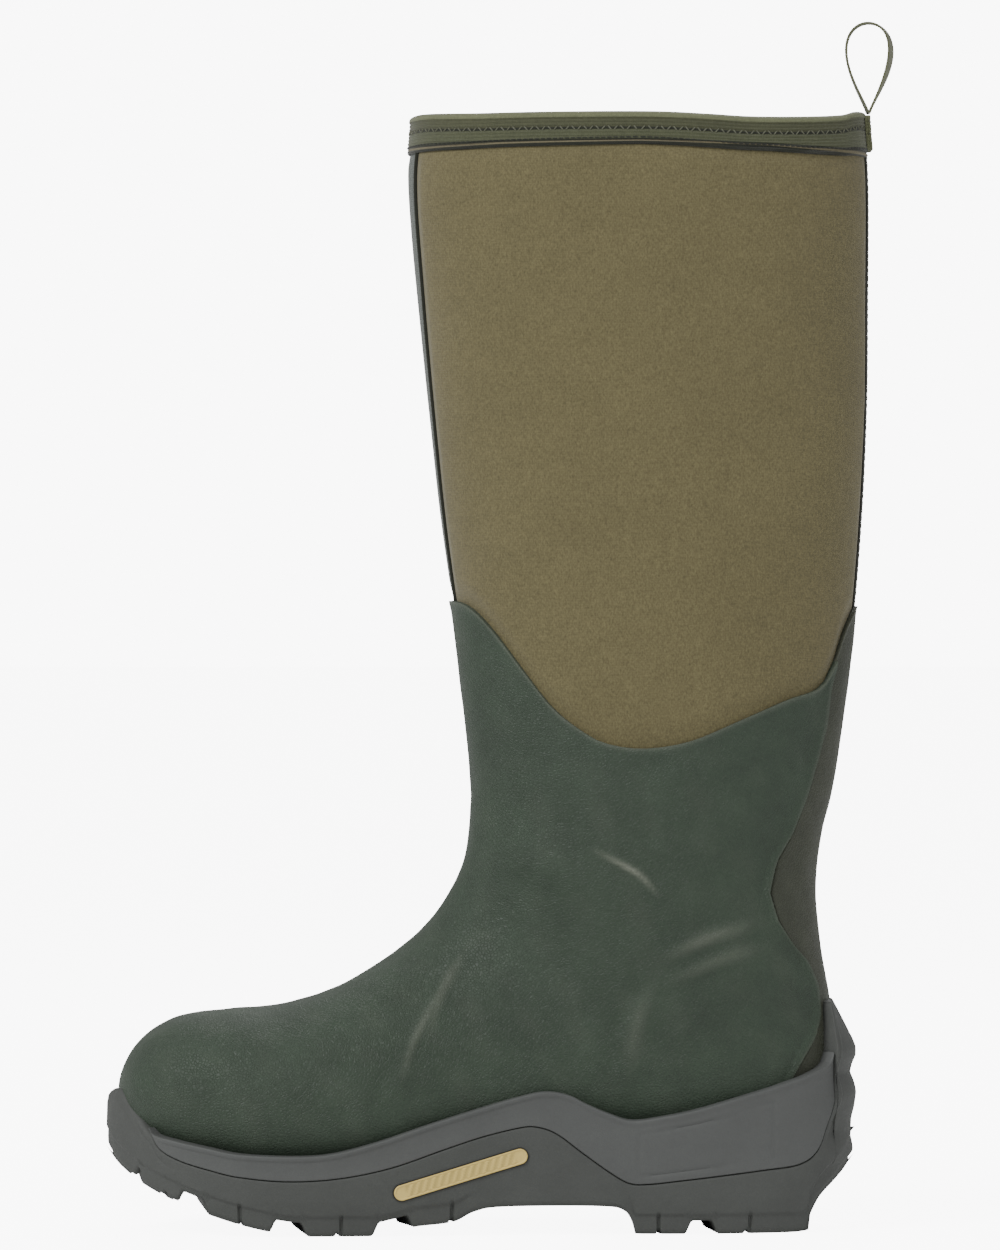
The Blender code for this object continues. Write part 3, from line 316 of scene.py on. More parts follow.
def row_at(height):
    """The shaft row whose section lies at this height."""
    rows = np.linspace(0, JOIN_ROW, 800)
    return float(np.interp(-height, -spline(SECTION_TABLE, rows)[:, 1], rows))


def seam_turn(row, distance, at_back=False):
    """The turn at which the last lies this distance to the side of its centre line."""
    section = spline(SECTION_TABLE, row)
    share = np.clip(distance / np.maximum(section[..., 4], MM), 0, 1)
    turn = np.arcsin(share ** (section[..., 8 if at_back else 7] / 2))
    return math.pi - turn if at_back else turn


def half_width_at(x, z):
    """Sideways middle and half width of the last at side-view points, 0 where a point misses it.

    The row is found by halving: a point lies past a row where it is on the toe's side of the line
    from the row's back to its front.
    """
    low = np.zeros_like(x)
    high = np.full_like(x, TOE_TIP - 0.001)
    for _ in range(24):
        row = (low + high) / 2
        front_x, front_z, back_x, back_z = np.moveaxis(spline(SECTION_TABLE, row)[..., :4], -1, 0)
        past = (front_x - back_x) * (z - back_z) - (front_z - back_z) * (x - back_x) > 0
        low = np.where(past, row, low)
        high = np.where(past, high, row)
    section = np.moveaxis(spline(SECTION_TABLE, row), -1, 0)
    front_x, front_z, back_x, back_z, half, shift, widest, front_square, back_square = section
    run_x, run_z = front_x - back_x, front_z - back_z
    length = np.maximum(run_x**2 + run_z**2, 1e-12)
    share = ((x - back_x) * run_x + (z - back_z) * run_z) / length
    off_line = np.abs((x - back_x) * run_z - (z - back_z) * run_x) / np.sqrt(length)
    ahead = share >= widest
    reach = np.where(ahead, (share - widest) / (1 - widest), (widest - share) / widest)
    square = np.where(ahead, front_square, back_square)
    inside = (reach < 1) & (off_line < MM)
    wide = half * (1 - np.clip(reach, 0, 1) ** square) ** (1 / square)
    return shift, np.where(inside, wide, 0)


# ---- Meshes ----------------------------------------------------------------------------------


def grid_quads(numbers):
    """Four-cornered faces over the last two directions of a grid of point numbers."""
    corners = numbers[..., :-1, :-1], numbers[..., :-1, 1:], numbers[..., 1:, 1:], numbers[..., 1:, :-1]
    return np.stack(corners, axis=-1).reshape(-1, 4)


def measured_uv(points):
    """A map in metres: u runs along each row from its middle, v down each column."""
    across = np.linalg.norm(np.diff(points, axis=1), axis=-1)
    down = np.linalg.norm(np.diff(points, axis=0), axis=-1)
    u = np.concatenate([np.zeros((len(points), 1)), np.cumsum(across, axis=1)], axis=1)
    v = np.concatenate([np.zeros((1, points.shape[1])), np.cumsum(down, axis=0)], axis=0)
    middle = u[:, u.shape[1] // 2][:, None]
    return np.stack([u - middle, -v], axis=-1)


def made_mesh(name, points, faces, uv=None, pale=None, sharp=42):
    """A mesh of these points and faces, with coincident points welded and faces turned outwards."""
    mesh = bpy.data.meshes.new(name)
    faces = faces.tolist() if isinstance(faces, np.ndarray) else faces
    mesh.from_pydata(np.asarray(points).reshape(-1, 3).tolist(), [], faces)
    if uv is not None:
        corners = np.empty(len(mesh.loops), dtype=int)
        mesh.loops.foreach_get("vertex_index", corners)
        layer = mesh.uv_layers.new(name="metric")
        layer.data.foreach_set("uv", np.asarray(uv).reshape(-1, 2)[corners].ravel())
    if pale is not None:
        mark = mesh.attributes.new("pale", "FLOAT", "POINT")
        mark.data.foreach_set("value", np.asarray(pale, float).ravel())
    shape = bmesh.new()
    shape.from_mesh(mesh)
    bmesh.ops.remove_doubles(shape, verts=shape.verts, dist=2e-6)
    bmesh.ops.dissolve_degenerate(shape, edges=shape.edges, dist=1e-7)
    bmesh.ops.recalc_face_normals(shape, faces=shape.faces)
    shape.to_mesh(mesh)
    shape.free()
    mesh.shade_smooth()
    mesh.set_sharp_from_angle(angle=math.radians(sharp))
    return mesh


def closed_wall(name, outer, inner, around=False, pale=None, stride=4):
    """A solid between two grids of points, with rims at its open edges.

    Only the outer side keeps every point. The inner side keeps one in stride, and each rim face spans
    stride steps of the outer edge and one of the inner. Around means that the last column is the first.
    """
    rows, columns = outer.shape[:2]
    skin = np.arange(rows * columns).reshape(rows, columns)
    core_points = inner[::stride, ::stride]
    core = skin.size + np.arange(core_points.shape[0] * core_points.shape[1]).reshape(core_points.shape[:2])
    faces = grid_quads(skin).tolist() + grid_quads(core).tolist()
    edges = [(skin[0], core[0]), (skin[-1], core[-1])]
    if not around:
        edges += [(skin[:, 0], core[:, 0]), (skin[:, -1], core[:, -1])]
    for fine, coarse in edges:
        for step in range(len(coarse) - 1):
            span = fine[step * stride:(step + 1) * stride + 1].tolist()
            faces.append([*span, int(coarse[step + 1]), int(coarse[step])])
    uv = measured_uv(outer)
    uv = np.concatenate([uv.reshape(-1, 2), uv[::stride, ::stride].reshape(-1, 2)])
    marks = None
    if pale is not None:
        marks = np.concatenate([pale.ravel(), np.zeros(core.size)])
    points = np.concatenate([outer.reshape(-1, 3), core_points.reshape(-1, 3)])
    return made_mesh(name, points, faces, uv, marks)


def soft_edges(mesh_object, width, segments=3):
    """Rounds the rims of a piece."""
    bevel = mesh_object.modifiers.new("rounded rims", "BEVEL")
    bevel.width = width
    bevel.segments = segments
    bevel.limit_method = "ANGLE"
    bevel.angle_limit = math.radians(50)
    bevel.use_clamp_overlap = True


def add_piece(mesh, finish, slot, body, *nodes):
    """Shows a mesh as a piece that rides on a body and stands for CAD nodes."""
    piece = bpy.data.objects.new(mesh.name, mesh)
    bpy.context.scene.collection.objects.link(piece)
    mesh.materials.append(finish)
    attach(piece, body)
    if nodes:
        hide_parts(*nodes)
    return piece


def stitches(name, centres, along, outward, length, width, height):
    """Sewn stitches: each is a small six-sided spindle laid along its seam, half sunk in the cloth.

    Point (ring, side) is the centre plus the ring's share of the length along the seam, plus the
    ring's radius times the side's cosine across it and its sine outwards.
    """
    across = np.cross(outward, along)
    rings = np.array([-0.5, -0.3, 0.3, 0.5])
    radii = np.array([0.25, 1.0, 1.0, 0.25])
    sides = np.arange(6) * TURN / 6
    run = (rings * length)[None, :, None, None] * along[:, None, None, :]
    wide = (radii[:, None] * np.cos(sides) * width / 2)[None, :, :, None] * across[:, None, None, :]
    tall = (radii[:, None] * np.sin(sides) * height)[None, :, :, None] * outward[:, None, None, :]
    points = centres[:, None, None, :] + run + wide + tall
    count = len(centres)
    numbers = np.arange(count * 24).reshape(count, 4, 6)
    wrapped = np.concatenate([numbers, numbers[:, :, :1]], axis=2)
    ends = [numbers[:, 0, ::-1], numbers[:, -1, :]]
    halves = [end[:, half] for half in ([0, 1, 2, 3], [3, 4, 5, 0]) for end in ends]
    return made_mesh(name, points, np.concatenate([grid_quads(wrapped), *halves]))


# ---- Finishes --------------------------------------------------------------------------------


def add_node(tree, kind, inputs=None, **settings):
    """A node with its settings, and with a value or another node's socket on each named input."""
    node = tree.nodes.new(kind)
    for key, value in settings.items():
        setattr(node, key, value)
    for key, value in (inputs or {}).items():
        if isinstance(value, bpy.types.NodeSocket):
            tree.links.new(value, node.inputs[key])
        else:
            node.inputs[key].default_value = value
    return node


def maths(tree, operation, first, second=0.0):
    return add_node(tree, "ShaderNodeMath", {0: first, 1: second}, operation=operation).outputs[0]


def dimmed(tree, colour, share):
    """A colour multiplied by a share."""
    return add_node(tree, "ShaderNodeVectorMath", {0: colour, "Scale": share}, operation="SCALE").outputs[0]


def own_mark(tree):
    """The mark stored on the piece: how pale it is, or where it lies across the binding."""
    return add_node(tree, "ShaderNodeAttribute", attribute_name="pale").outputs["Fac"]


def new_group(name, inputs, outputs):
    """An empty shader group with float or colour inputs, each with its default, and its outputs."""
    group = bpy.data.node_groups.new(name, "ShaderNodeTree")
    for label, default in inputs.items():
        kind = "NodeSocketFloat" if isinstance(default, float) else "NodeSocketColor"
        group.interface.new_socket(label, in_out="INPUT", socket_type=kind).default_value = default
    for label, kind in outputs.items():
        group.interface.new_socket(label, in_out="OUTPUT", socket_type=kind)
    return group, group.nodes.new("NodeGroupInput").outputs, group.nodes.new("NodeGroupOutput").inputs


def mottle_group():
    """A colour made lighter and darker by a cloudy noise; streak stretches the clouds upwards."""
    inputs = {"Color": (0.5, 0.5, 0.5, 1), "Scale": 100.0, "Amount": 0.2, "Streak": 1.0}
    group, start, end = new_group("mottle", inputs, {"Color": "NodeSocketColor"})
    place = add_node(group, "ShaderNodeTexCoord").outputs["Object"]
    stretch = add_node(group, "ShaderNodeCombineXYZ", {"X": 1, "Y": 1, "Z": start["Streak"]}).outputs[0]
    place = add_node(group, "ShaderNodeVectorMath", {0: place, 1: stretch}, operation="MULTIPLY").outputs[0]
    cloud = add_node(group, "ShaderNodeTexNoise", {"Vector": place, "Scale": start["Scale"], "Detail": 5.0,
                                                  "Roughness": 0.62}).outputs["Fac"]
    swing = maths(group, "MULTIPLY", start["Amount"], 4.0)
    swing = maths(group, "MULTIPLY", maths(group, "SUBTRACT", cloud, 0.5), swing)
    group.links.new(dimmed(group, start["Color"], maths(group, "ADD", swing, 1.0)), end["Color"])
    return group


def weave_group():
    """Height of a plain knit or weave: |sin| across times |sin| along, at a pitch in metres."""
    group, start, end = new_group("weave", {"Across": 0.001, "Along": 0.001}, {"Height": "NodeSocketFloat"})
    spot = add_node(group, "ShaderNodeUVMap", uv_map="metric").outputs[0]
    spot = add_node(group, "ShaderNodeSeparateXYZ", {0: spot})
    waves = []
    for axis, pitch in (("X", "Across"), ("Y", "Along")):
        turns = maths(group, "DIVIDE", maths(group, "MULTIPLY", spot.outputs[axis], math.pi), start[pitch])
        waves.append(maths(group, "ABSOLUTE", maths(group, "SINE", turns)))
    group.links.new(maths(group, "MULTIPLY", *waves), end["Height"])
    return group


def grain_group():
    """Height of moulded or laid rubber: fine cells like leather with a slow unevenness under them."""
    group, start, end = new_group("grain", {"Scale": 900.0}, {"Height": "NodeSocketFloat"})
    place = add_node(group, "ShaderNodeTexCoord").outputs["Object"]
    cells = add_node(group, "ShaderNodeTexVoronoi", {"Vector": place, "Scale": start["Scale"]},
                     feature="DISTANCE_TO_EDGE").outputs["Distance"]
    broad = maths(group, "MULTIPLY", start["Scale"], 0.2)
    slow = add_node(group, "ShaderNodeTexNoise", {"Vector": place, "Scale": broad, "Detail": 4.0})
    cells = maths(group, "MINIMUM", maths(group, "MULTIPLY", cells, 2.5), 0.5)
    slow = maths(group, "MULTIPLY", slow.outputs["Fac"], 1.2)
    group.links.new(maths(group, "ADD", cells, slow), end["Height"])
    return group


class Finish:
    """A procedural material in the making: its Principled shader and what feeds it."""

    def __init__(self, name, colour, roughness, **constants):
        self.material = bpy.data.materials.new(name)
        self.material.use_nodes = True
        self.material.diffuse_color = (*colour, 1)
        self.tree = self.material.node_tree
        self.shader = self.tree.nodes["Principled BSDF"]
        self.shader.inputs["Roughness"].default_value = roughness
        for label, value in constants.items():
            self.shader.inputs[label.replace("_", " ")].default_value = value
        self.colour = add_node(self.tree, "ShaderNodeRGB").outputs[0]
        self.colour.default_value = (*colour, 1)
        self.normal = None

    def group(self, name, **inputs):
        node = add_node(self.tree, "ShaderNodeGroup", node_tree=bpy.data.node_groups[name])
        for label, value in inputs.items():
            if isinstance(value, bpy.types.NodeSocket):
                self.tree.links.new(value, node.inputs[label])
            else:
                node.inputs[label].default_value = value
        return node.outputs[0]

    def mottle(self, scale, amount, streak=1.0):
        self.colour = self.group("mottle", Color=self.colour, Scale=scale, Amount=amount, Streak=streak)
        return self

    def shade_hollows(self, mask, floor):
        """Dims the colour to floor where the mask is 0."""
        share = maths(self.tree, "ADD", maths(self.tree, "MULTIPLY", mask, 1 - floor), floor)
        self.colour = dimmed(self.tree, self.colour, share)
        return self

    def tint(self, mask, colour):
        """Turns the colour to another where the mask is 1."""
        mix = add_node(self.tree, "ShaderNodeMix", data_type="RGBA")
        self.tree.links.new(mask, mix.inputs["Factor"])
        self.tree.links.new(self.colour, mix.inputs[6])
        mix.inputs[7].default_value = (*colour, 1)
        self.colour = mix.outputs[2]
        return self

    def marked(self, colour):
        """Turns to another colour where the piece's own mark says so."""
        return self.tint(own_mark(self.tree), colour)

    def bump(self, height, distance, strength=1.0):
        inputs = {"Height": height, "Distance": distance, "Strength": strength}
        if self.normal is not None:
            inputs["Normal"] = self.normal
        self.normal = add_node(self.tree, "ShaderNodeBump", inputs).outputs[0]
        return self

    def done(self):
        self.tree.links.new(self.colour, self.shader.inputs["Base Color"])
        if self.normal is not None:
            self.tree.links.new(self.normal, self.shader.inputs["Normal"])
        return self.material


def knit(name, colour, across, along, depth, heather, sheen=0.25, gap_shade=0.72):
    """A knitted or woven cloth with heathered yarn; its loops are given in millimetres."""
    streak = 0.6
    finish = Finish(name, colour, 0.9, Sheen_Weight=sheen, Specular_IOR_Level=0.25)
    finish.mottle(1500.0, heather, streak).mottle(260.0, heather * 0.15, streak).mottle(22.0, 0.07)
    loops = finish.group("weave", Across=across * MM, Along=along * MM)
    # The hollows between the loops are dimmed as painted shade.
    finish.shade_hollows(loops, gap_shade).bump(loops, depth * MM)
    return finish.bump(finish.group("grain", Scale=1600.0), depth * MM * 0.4).done()


def laid_rubber(name, colour, roughness, grain, depth, cloud, pale=None, sheen=0.0):
    """Rubber or moulded foam with a fine grain of a depth in millimetres, cloudy colour and paler
    stretched folds."""
    finish = Finish(name, colour, roughness, Specular_IOR_Level=0.38, Sheen_Weight=sheen)
    finish.mottle(700.0, cloud * 0.6).mottle(60.0, cloud).mottle(14.0, cloud * 0.7)
    if pale:
        finish.marked(pale)
    rough = finish.group("grain", Scale=grain)
    uneven = maths(finish.tree, "ADD", maths(finish.tree, "MULTIPLY", rough, 0.10), roughness - 0.06)
    finish.tree.links.new(uneven, finish.shader.inputs["Roughness"])
    return finish.bump(rough, depth * MM).done()


def binding_finish(colour):
    """Ribbed tape: a pale rolled edge, a dark band, a greener band and two dark lines at the foot."""
    finish = Finish("binding tape", colour, 0.85, Sheen_Weight=0.3, Specular_IOR_Level=0.25)
    ramp = add_node(finish.tree, "ShaderNodeValToRGB", {"Fac": own_mark(finish.tree)})
    # The rolled colour is a painted highlight on the crown; the line stops at 0 and 0.10 paint shade at the
    # foot.
    green, dark, rolled = (0.082, 0.090, 0.048), colour, (0.160, 0.172, 0.092)
    line, tan = (0.018, 0.020, 0.012), (0.16, 0.14, 0.08)
    stops = [(0.0, line), (0.03, line), (0.045, tan), (0.08, tan), (0.10, line), (0.13, line), (0.16, green),
             (0.45, green), (0.475, line), (0.53, line), (0.55, dark), (0.80, dark), (0.86, rolled)]
    steps = ramp.color_ramp.elements
    steps[0].color = (*stops[0][1], 1)
    steps[1].position, steps[1].color = stops[-1][0], (*stops[-1][1], 1)
    for place, shade in stops[1:-1]:
        steps.new(place).color = (*shade, 1)
    finish.colour = ramp.outputs["Color"]
    finish.mottle(900.0, 0.20).mottle(60.0, 0.08)
    loops = finish.group("weave", Across=0.7 * MM, Along=0.75 * MM)
    # The hollows between the tape's loops are dimmed as painted shade.
    return finish.shade_hollows(loops, 0.75).bump(loops, 0.10 * MM).done()


def brushed(name, colour, roughness, metallic):
    """Metal or metallised plastic with fine scratches along it."""
    finish = Finish(name, colour, roughness, Metallic=metallic)
    finish.mottle(600.0, 0.10, 0.2).mottle(40.0, 0.05)
    return finish.bump(finish.group("grain", Scale=1800.0), 0.03 * MM).done()


FINISHES = {}


def mix_finishes(colours):
    """All finishes of the boot, by the material slot that they are for."""
    mottle_group()
    weave_group()
    grain_group()
    # Light tint of the rubbers: a painted highlight along raised creases and edges, plus a little random
    # tone.
    highlight_and_tone = (0.24, 0.25, 0.20)
    FINISHES.update(
        tan_neoprene=knit("tan knit", colours.neoprene, 0.55, 0.7, 0.10, 0.40, gap_shade=0.88),
        grey_strip=knit("shin strip", colours.strip, 1.6, 0.9, 0.22, 0.25),
        dark_piping=knit("piping", colours.piping, 0.8, 0.8, 0.10, 0.20),
        binding=binding_finish(colours.binding),
        olive_tape=knit("webbing", [2 * part for part in colours.binding], 1.0, 1.3, 0.22, 0.22),
        thread=knit("thread", colours.thread, 0.5, 0.5, 0.05, 0.15),
        green_rubber=laid_rubber("vamp rubber", colours.rubber, 0.50, 800.0, 0.30, 0.16, highlight_and_tone, 0.05),
        grey_green_rubber=laid_rubber("stay rubber", colours.stay, 0.52, 800.0, 0.30, 0.16, highlight_and_tone, 0.05),
        midsole_foam=laid_rubber("midsole skin", colours.midsole, 0.62, 1500.0, 0.05, 0.05),
        sole_rubber=laid_rubber("outsole rubber", colours.outsole, 0.60, 1300.0, 0.08, 0.07),
        gold_inlay=laid_rubber("gold inlay", colours.inlay, 0.42, 1400.0, 0.04, 0.05, (0.02, 0.018, 0.012)),
        black_neoprene=knit("sock neoprene", (0.016, 0.016, 0.016), 0.9, 0.9, 0.10, 0.20),
        lining_jersey=knit("lining jersey", (0.060, 0.060, 0.050), 1.1, 1.1, 0.20, 0.30, sheen=0.5),
        fibre_board=laid_rubber("fibre board", (0.30, 0.24, 0.16), 0.85, 1100.0, 0.10, 0.18),
        spring_steel=brushed("spring steel", (0.50, 0.50, 0.50), 0.35, 1.0),
        grey_felt=knit("felt", (0.25, 0.25, 0.24), 1.7, 1.5, 0.12, 0.35, sheen=0.5),
        black_foam=laid_rubber("insole foam", (0.030, 0.030, 0.030), 0.80, 1700.0, 0.10, 0.20),
        footbed_cloth=knit("insole cloth", (0.050, 0.060, 0.045), 1.2, 1.2, 0.16, 0.30, sheen=0.4),
    )


# ---- Upper -----------------------------------------------------------------------------------

FIT = 0.3 * MM
NEOPRENE = 5 * MM
LINING = 1.5 * MM
BINDING = 1 * MM
CROWN = 460 * MM
SEAM_HEIGHT = 453.2 * MM
PIPING = 1.6 * MM
TAPE_WIDTH = 10 * MM
STRIP_TOP, STRIP_FOOT = 25 * MM, 14 * MM
JOIN_GAP = 0.02
ROUND_COLUMNS = 241
INSIDE = -NEOPRENE - LINING - 2 * FIT
# Turn that the middle of the vamp spreads to before its edge is drawn in or out.
VAMP_REACH = 2.55
# Length of the rubber from its top edge down, against which its edge is thickened.
RUBBER_DROP = 300 * MM
# Ends of the front pipings and of the tape on the back seam.
PIPING_TOP, PIPING_FOOT = 446 * MM, 250 * MM
# The level at which the binding turns over, and the end of its inner leg.
BRIM, BINDING_END = 457.6 * MM, 447.5 * MM
# Heights of the two lines of stitches that hold the loop's tail.
TAIL_BARS = (456 * MM, 451 * MM)
# Place of the pull loop's hinge along the boot and above the ground.
LOOP_ROOT = (152.747 * MM, 461.5 * MM)


def sizes():
    return bpy.context.scene.boot_sizes


def uneven(points, length, seed):
    """A slow, smooth unevenness from -1 to 1: the mean of five sine waves in set directions."""
    rng = np.random.default_rng(seed)
    waves = rng.normal(size=(5, 3))
    waves /= np.linalg.norm(waves, axis=1, keepdims=True) * length * rng.uniform(0.6, 1.4, (5, 1))
    return np.sin(TURN * points @ waves.T + rng.uniform(0, TURN, 5)).mean(axis=-1)


def creased(points):
    """Height of the rubber's creases and how pale they are: a bell curve across each crease's course,
    tapered towards its two ends."""
    height, pale = np.zeros(points.shape[:2]), np.zeros(points.shape[:2])
    for course, amount, width, highlight_strength in CREASES:
        line = spline(np.array(course, float) * MM, np.linspace(0, len(course) - 1, 36))
        apart = (points[..., 0, None] - line[:, 0]) ** 2 + (points[..., 2, None] - line[:, 1]) ** 2
        nearest = apart.argmin(axis=-1)
        taper = np.sin(math.pi * (0.06 + 0.88 * nearest / (len(line) - 1)))
        bell = np.exp(-apart.min(axis=-1) / (width * MM) ** 2) * taper
        height += amount * MM * bell
        # The raised creases get a painted highlight along their ridges.
        pale = np.maximum(pale, highlight_strength * bell**1.5)
    return height, pale


def first_crossing(values, places):
    """The place along each row of values where they first turn from negative to positive."""
    positive = values >= 0
    first = np.clip(positive.argmax(axis=1), 1, None)
    rows = np.arange(len(values))
    low, high = values[rows, first - 1], values[rows, first]
    share = np.clip(-low / np.where(high - low == 0, 1, high - low), 0, 1)
    found = places[first - 1] + share * (places[first] - places[first - 1])
    return np.where(positive.any(axis=1), found, places[-1])


def rear_turn(rows):
    """The turn on each row at which the vamp's rear edge runs over the last."""
    turns = np.linspace(0.02, math.pi, 300)
    rear_x, rear_z = np.array(VAMP_REAR_LINE[::-1]).T * MM
    points = last_point(rows[:, None], turns[None, :])
    return first_crossing(points[..., 0] - np.interp(points[..., 2], rear_z, rear_x), turns)


def rubber_rows(turn_at, end, columns, count):
    """Rows from the rubber's scooped top edge down to end, evenly spaced over the boot, per column.

    turn_at(rows, columns) gives the turns; the top edge is where a column falls below its line.
    """
    rows = np.linspace(3.2, 7.6, 400)
    points = last_point(rows[:, None], turn_at(rows, columns))
    top = first_crossing((height_on(RUBBER_TOP, points[..., 0]) - points[..., 2]).T, rows)
    known = np.linspace(3, TOE_TIP, 900)
    course = last_point(known[:, None], np.array([0.0, 1.6, 2.5])[None, :])
    travel = np.concatenate([[0], np.cumsum(np.linalg.norm(np.diff(course, axis=0), axis=-1).mean(axis=1))])
    start, stop = np.interp(top, known, travel), np.interp(end, known, travel)
    share = np.linspace(0, 1, count)[:, None]
    return np.interp(start + (stop - start) * share, travel, known)


def laid_sheet(name, turn_at, end, columns, count, edge_columns, finish, *nodes):
    """A sheet of rubber on the last, with a thicker top edge, raised side edges, creases and wrinkles."""
    grid = rubber_rows(turn_at, end, columns, count)
    turns = turn_at(grid, columns)
    plain = last_point(grid, turns)
    height, pale = creased(plain)
    fall = np.linspace(0, 1, count)[:, None]
    below = fall * RUBBER_DROP
    top_bead = 0.35 * MM * np.exp(-(below / (2 * MM)) ** 2)
    beside = np.abs(columns)[None, :]
    side_bead = edge_columns * MM * smooth(0.965, 0.992, beside) * smooth(13, 11, grid)
    lift = FIT + sizes().rubber + sizes().fold_height * height + top_bead + side_bead
    lift = lift + 0.28 * MM * uneven(plain, 34 * MM, 5) + 0.12 * MM * uneven(plain, 11 * MM, 8)
    lift = np.maximum(lift, FIT + 0.6 * MM)
    # Painted highlights along the raised top edge and along the vamp's raised rear edge.
    top_edge_highlight = 0.22 * np.exp(-(below / (1.0 * MM)) ** 2)
    seam_highlight = 0.10 * smooth(0.985, 0.996, beside) * (edge_columns > 0)
    pale = np.maximum(pale, np.maximum(top_edge_highlight, seam_highlight))
    marks = np.clip(pale + 0.04 * uneven(plain, 18 * MM, 3), 0, 1)
    mesh = closed_wall(name, on_last(grid, turns, lift), on_last(grid, turns, FIT), pale=marks)
    piece = add_piece(mesh, FINISHES[finish], finish, "boot", *nodes)
    soft_edges(piece, 0.45 * MM)
    return piece


def build_rubber():
    """The vamp covers the front to its rear line and wraps under the foot to the lasting board; the
    back stay covers the rest."""
    steps = np.linspace(0, TOE_TIP, 1200)
    rear = rear_turn(steps)
    board = math.pi - 0.70 * smooth(12.7, 13.1, steps) * (1 - smooth(20.1, 20.8, steps)) - 0.003
    end_of_vamp = np.minimum(rear, board)

    def vamp_turns(rows, columns):
        rows = np.asarray(rows, float)
        edge = np.interp(rows, steps, end_of_vamp)
        edge = edge[:, None] if rows.ndim == 1 else edge
        return columns * VAMP_REACH + np.sign(columns) * (edge - VAMP_REACH) * np.abs(columns) ** 5

    def stay_turns(rows, columns):
        rows = np.asarray(rows, float)
        edge = math.pi - np.interp(rows, steps, rear)
        return math.pi + columns * (edge[:, None] if rows.ndim == 1 else edge)

    columns = np.sin(np.linspace(-1, 1, 321) * math.pi / 2) * 0.12 + np.linspace(-1, 1, 321) * 0.88
    laid_sheet("vamp", vamp_turns, TOE_TIP, columns, 257, 0.8, "green_rubber", "rubber_vamp")
    heel = steps[(steps > 9) & (math.pi - rear < 0.12)][0]
    laid_sheet("back_stay", stay_turns, heel, np.linspace(-1, 1, 161), 201, -0.8, "grey_green_rubber",
               "rubber_back_stay")


def front_half(row):
    """Half the front strip's width, which narrows down to the join."""
    return (STRIP_TOP + (STRIP_FOOT - STRIP_TOP) * np.clip(np.asarray(row) / 5, 0, 1)) / 2


def binding_foot(x):
    """Height of the binding's lower edge along the boot."""
    return np.interp(x, *(np.array(BINDING_FOOT).T * MM))


def swelling(points, from_front, from_back):
    """How swollen the neoprene is, from 0 at its seams and edges to 1 in the open."""
    above = points[..., 2] - height_on(RUBBER_TOP, points[..., 0])
    below = binding_foot(points[..., 0]) - points[..., 2]
    return smooth(0.5 * MM, 10 * MM, above) * smooth(-0.5 * MM, 7 * MM, below) * \
        smooth(0, 5 * MM, from_front) * smooth(0, 6 * MM, from_back)


def build_panels():
    """The two side panels and the front strip of foam neoprene, swollen between their seams."""
    rows = np.linspace(0, JOIN_ROW - JOIN_GAP, 245)[:, None]
    shares = np.linspace(0, 1, 157)[None, :]
    start = seam_turn(rows, front_half(rows) + PIPING / 2 + FIT / 2)
    turns = start + (seam_turn(rows, FIT / 2, at_back=True) - start) * shares
    plain = last_point(rows, turns)
    step = np.linalg.norm(np.diff(plain, axis=1), axis=-1)
    travel = np.concatenate([np.zeros((len(rows), 1)), np.cumsum(step, axis=1)], axis=1)
    swell = swelling(plain, travel, travel[:, -1:] - travel - TAPE_WIDTH / 2)
    for side, sign in (("lateral", 1), ("medial", -1)):
        turned = turns * sign
        points = last_point(rows, turned)
        waves = 0.45 * MM * uneven(points, 62 * MM, 21) + 0.16 * MM * uneven(points, 19 * MM, 4)
        lift = swell * (sizes().puff + waves)
        outer, inner = on_last(rows, turned, lift), on_last(rows, turned, -NEOPRENE)
        name = f"side_panel_{side}"
        mesh = closed_wall(f"{name}_cloth", outer[:, ::sign], inner[:, ::sign])
        piece = add_piece(mesh, FINISHES["tan_neoprene"], "tan_neoprene", "boot", name)
        soft_edges(piece, 0.4 * MM)
    shares = np.linspace(-1, 1, 33)[None, :]
    turns = seam_turn(rows, front_half(rows) - PIPING / 2 - FIT / 2) * shares
    points = last_point(rows, turns)
    edge = (1 - np.abs(shares)) * front_half(rows)
    lift = swelling(points, edge, edge + 9 * MM) * (0.5 * MM + 0.2 * MM * uneven(points, 30 * MM, 9))
    mesh = closed_wall("front_strip", on_last(rows, turns, lift), on_last(rows, turns, -NEOPRENE))
    piece = add_piece(mesh, FINISHES["grey_strip"], "grey_strip", "boot", "front_panel")
    soft_edges(piece, 0.4 * MM)


